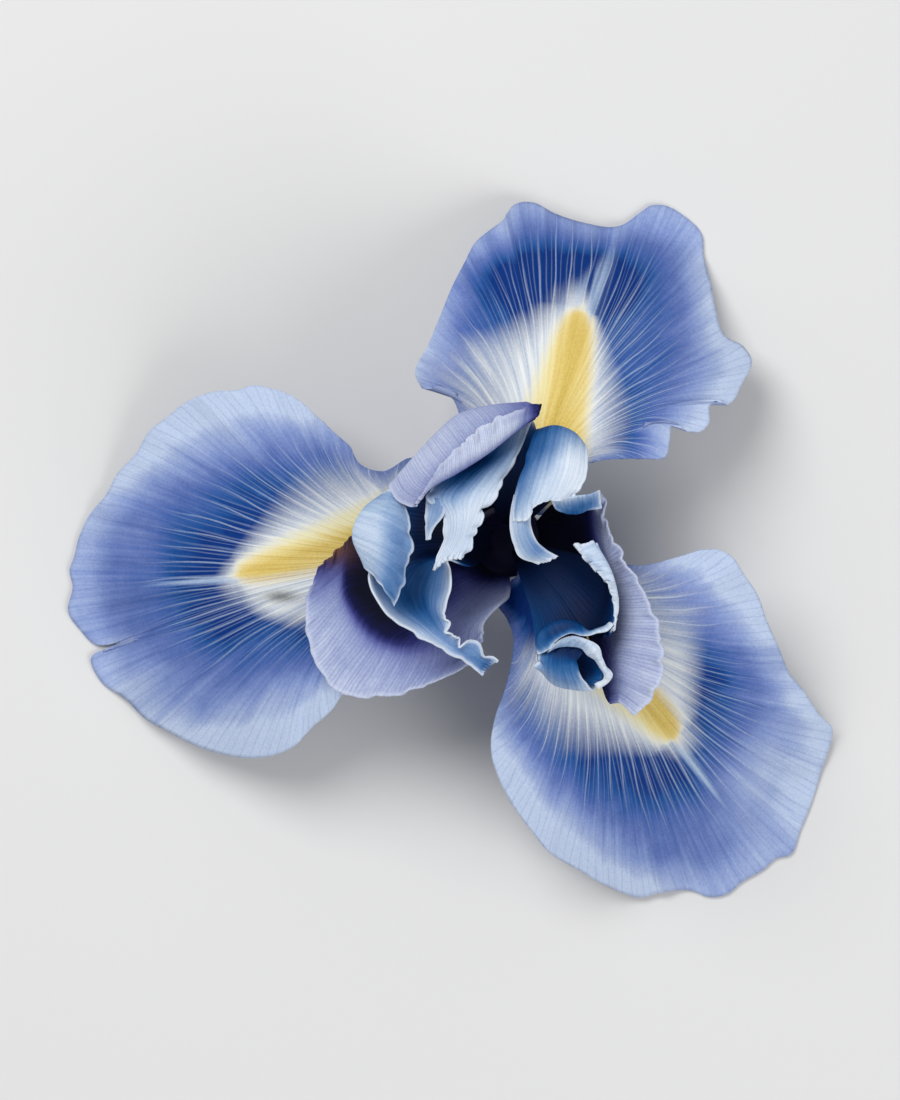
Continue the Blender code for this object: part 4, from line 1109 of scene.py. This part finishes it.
def arm_nets(clockwise, anticlockwise, extras, shares, seed):
    """The frilled nets of one style arm."""
    inner, outer = loft(clockwise, ARM_COLUMNS), loft(anticlockwise, ARM_COLUMNS)
    shared = STEPS * SPLIT_ROW + 1
    outer[:shared, 0] = inner[:shared, -1]
    nets = [
        frilled(inner, amount=0.5, width=1.8, waves=3.6, seed=seed, start=0.5, shares=(1, 1, 1.2)),
        frilled(outer, amount=0.6, width=1.6, waves=8, seed=seed + 3, start=0.45, shares=shares),
    ]
    small = {"amount": 0.3, "width": 1.2, "waves": 2.2, "start": 0.1, "shares": (0.3, 0.3, 1)}
    for k, rows in enumerate(extras):
        nets.append(frilled(loft(rows, ARM_COLUMNS), seed=seed + 6 + k, **small))
    return nets


for seed, (name, arm) in enumerate(STYLE_ARMS.items()):
    nets = arm_nets(*arm, seed=60 + 9 * seed)
    petal = sheet(f"petal_{name}", nets, [STYLE], STYLE_MM, [net_fields(net) for net in nets])
    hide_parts(name)


# %% [markdown]
# ## Stamens, tube, ovary and stalk
# These sit in the shade of the petals, but they are looked at from below and from the side. Each is a swept
# tube: rings of points round a path, with a radius that changes along it.


# %% Swept bodies
def swept(name, path, radii, mat, node, sides=32, shape=None):
    """A closed body of rings round a path. shape(turn) scales the radius, for ribs and grooves."""
    path = np.asarray(path, dtype=float)
    turns = np.linspace(0, math.tau, sides, endpoint=False)
    scale = np.array([shape(turn) if shape else 1.0 for turn in turns])
    rings = []
    for centre, tangent, radius in zip(path, np.gradient(path, axis=0), radii):
        up = tangent / np.linalg.norm(tangent)
        across = np.cross(up, (0.0, 1.0, 0.0) if abs(up[1]) < 0.9 else (1.0, 0.0, 0.0))
        across /= np.linalg.norm(across)
        other = np.cross(up, across)
        circle = np.cos(turns)[:, None] * across + np.sin(turns)[:, None] * other
        rings.append(centre + (radius * scale)[:, None] * circle)
    a = np.arange((len(path) - 1) * sides)
    b = np.where((a + 1) % sides, a + 1, a + 1 - sides)
    faces = np.stack([a, b, b + sides, a + sides], axis=1).tolist()
    faces.append(list(range(sides))[::-1])
    faces.append(list(range((len(path) - 1) * sides, len(path) * sides)))
    obj = placed(name, np.concatenate(rings), faces, [mat])
    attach(obj, "root")
    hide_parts(node)
    print(f"{name}: {len(faces)} faces")


# %% Plant skins
def green_finish(name, low, high, bottom, top):
    """Smooth plant skin that changes colour with height, with faint lengthwise streaks."""
    f = Finish(name, 0.45)
    place = f.place()
    height = f.node("ShaderNodeSeparateXYZ", {"Vector": place}).outputs["Z"]
    stretch = f.node("ShaderNodeMapping", {"Vector": place, "Scale": (1500, 1500, 120)}).outputs[0]
    streak = f.noise(stretch, detail=3)
    body = f.mix(f.span(height, bottom * MM, top * MM), low, high)
    body = f.mix(f.times(streak, 0.3), body, paint(70, 100, 50), "MULTIPLY")
    f.colour(body)
    f.bump(streak, distance_mm=0.1, strength=0.5)
    return f.mat


def cream_finish(name, colour, dark, scale):
    """Matt skin with a grain: fine for the filaments, coarser for the pollen."""
    f = Finish(name, 0.7)
    grain = f.noise(f.place(), scale=scale, detail=2)
    f.colour(f.mix(f.span(grain, 0.4, 0.65), dark, colour))
    f.bump(grain, distance_mm=0.12, strength=0.7)
    return f.mat


STALK = green_finish("stalk_green_skin", paint(110, 146, 78), paint(128, 158, 96), 0, 12)
# The tube turns nearly black violet at its top, at the bottom of the throat: its own violet deepened as
# painted shade.
TUBE = green_finish("tube_green_to_violet", paint(128, 158, 104), paint(20, 18, 52), 14.5, 17.2)
THREAD = cream_finish("filament_pale_blue", paint(206, 212, 228), paint(160, 170, 204), 900)
POLLEN = cream_finish("anther_cream_pollen", paint(226, 214, 170), paint(176, 160, 112), 3000)
print("skins:", [mat.name for mat in (STALK, TUBE, THREAD, POLLEN)])


# %% Stalk, ovary and tube
def ribbed(turn):
    """Three rounded ribs, as on an iris seed case."""
    return 1 + 0.08 * math.cos(3 * turn) - 0.02 * math.cos(6 * turn)


def along_axis(rings):
    """A smooth upright path and its radii, from pairs of height and radius."""
    z, r = np.array(evenly(rings, 24)).T
    return [(0, 0, height) for height in z], r


path, radii = along_axis([(0.2, 2.1), (1.5, 2.2), (2.8, 2.3)])
swept("cut_stalk", path, radii, STALK, "pedicel")
path, radii = along_axis([(3.1, 1.6), (4, 2.9), (5.6, 3.6), (7.8, 3.8), (10, 3.6), (11.6, 2.9), (12.5, 1.8)])
swept("ribbed_ovary", path, radii, STALK, "ovary", sides=72, shape=ribbed)
path, radii = along_axis([(12.8, 2.2), (13.8, 2.5), (15.2, 3.6), (16.6, 5.8), (17.1, 6.2), (17.4, 6)])
swept("funnel_tube", path, radii, TUBE, "perianth_tube", sides=48)

# %% Filaments and anthers
THREAD_PATH = [(4.2, 18.05), (5.8, 21.2), (8.0, 24.6), (11.2, 26.6)]  # distance from the axis, height
THREAD_RADIUS = 0.45
ANTHER_START, ANTHER_HEIGHT, ANTHER_LENGTH, ANTHER_RISE = 11.9, 26.85, 8, 1.7
ANTHER_RADIUS = 0.85


def grooved(turn):
    """Two lengthwise grooves, where an anther's pollen sacs split."""
    deep = 0.28 * math.exp(-((math.sin(turn / 2) / 0.28) ** 2))
    return 1 - deep - 0.2 * math.exp(-((math.cos(turn / 2) / 0.22) ** 2))


for side in HEADINGS:
    ahead, _ = directions(side)
    path = evenly([(*(ahead * out), z) for out, z in THREAD_PATH], 24)
    radii = np.full(24, THREAD_RADIUS)
    swept(f"thread_{side}", path, radii, THREAD, f"filament_{side}", sides=16)
    t = np.linspace(0, 1, 30)
    path = [(*(ahead * (ANTHER_START + ANTHER_LENGTH * k)), ANTHER_HEIGHT + ANTHER_RISE * k) for k in t]
    radii = ANTHER_RADIUS * np.sqrt(np.clip(1 - (2 * t - 1) ** 4, 0.04, 1))
    swept(f"pollen_{side}", path, radii, POLLEN, f"anther_{side}", sides=28, shape=grooved)


# %% [markdown]
# ## Floor, light and camera
# A flower seen from above needs little: a plain pale floor, a broad soft light overhead, and a long lens
# looking straight down. The long lens keeps the raised middle from looking larger than the falls.


# %% Floor
def floor_finish():
    f = Finish("plain_pale_floor", 0.9)
    fleck = f.noise(f.place(), scale=40, detail=2)
    f.colour(f.mix(f.times(fleck, 0.03), paint(226, 226, 226), paint(216, 216, 218)))
    return f.mat


bpy.ops.mesh.primitive_plane_add(size=4, location=(0, 0, 0))
floor = bpy.context.object
floor.name = "floor"
floor.data.materials.append(floor_finish())
print("floor:", tuple(floor.dimensions))

# %% Light
LAMP_AIM = Vector((0, 0, 0.02))
KEY_PLACE, KEY_SIZE, KEY_WATTS = (-0.35, 0.45, 0.75), 0.6, 6.0
FILL_PLACE, FILL_SIZE, FILL_WATTS = (0.6, -0.5, 0.6), 0.8, 4.7
ROOM_STRENGTH = 0.3


def lamp(name, place, size, power):
    """A round soft lamp aimed at the flower."""
    light = bpy.data.lights.new(name, "AREA")
    light.shape = "DISK"
    light.size = size
    light.energy = power
    obj = bpy.data.objects.new(name, light)
    obj.location = place
    obj.rotation_euler = (LAMP_AIM - Vector(place)).to_track_quat("-Z", "Y").to_euler()
    bpy.context.scene.collection.objects.link(obj)
    print(f"{name} lamp: {power} W")


lamp("key", KEY_PLACE, KEY_SIZE, KEY_WATTS)
lamp("fill", FILL_PLACE, FILL_SIZE, FILL_WATTS)
world = bpy.data.worlds.new("soft_room")
world.use_nodes = True
background = world.node_tree.nodes["Background"]
background.inputs["Color"].default_value = (1, 1, 1, 1)
background.inputs["Strength"].default_value = ROOM_STRENGTH
bpy.context.scene.world = world
bpy.context.scene.view_settings.view_transform = "Standard"

# %% Camera
LENS_MM = 300.0
FRAME_HEIGHT = 0.1786  # what the picture spans from top to bottom, at blade height
BLADE_HEIGHT = 0.018
camera = bpy.data.cameras.new("camera")
camera.lens = LENS_MM
camera.clip_end = 20
camera_object = bpy.data.objects.new("camera", camera)
camera_object.location = (0, 0, BLADE_HEIGHT + FRAME_HEIGHT * LENS_MM / camera.sensor_width)
bpy.context.scene.collection.objects.link(camera_object)
bpy.context.scene.camera = camera_object
print("camera height:", round(camera_object.location.z, 3), "m")
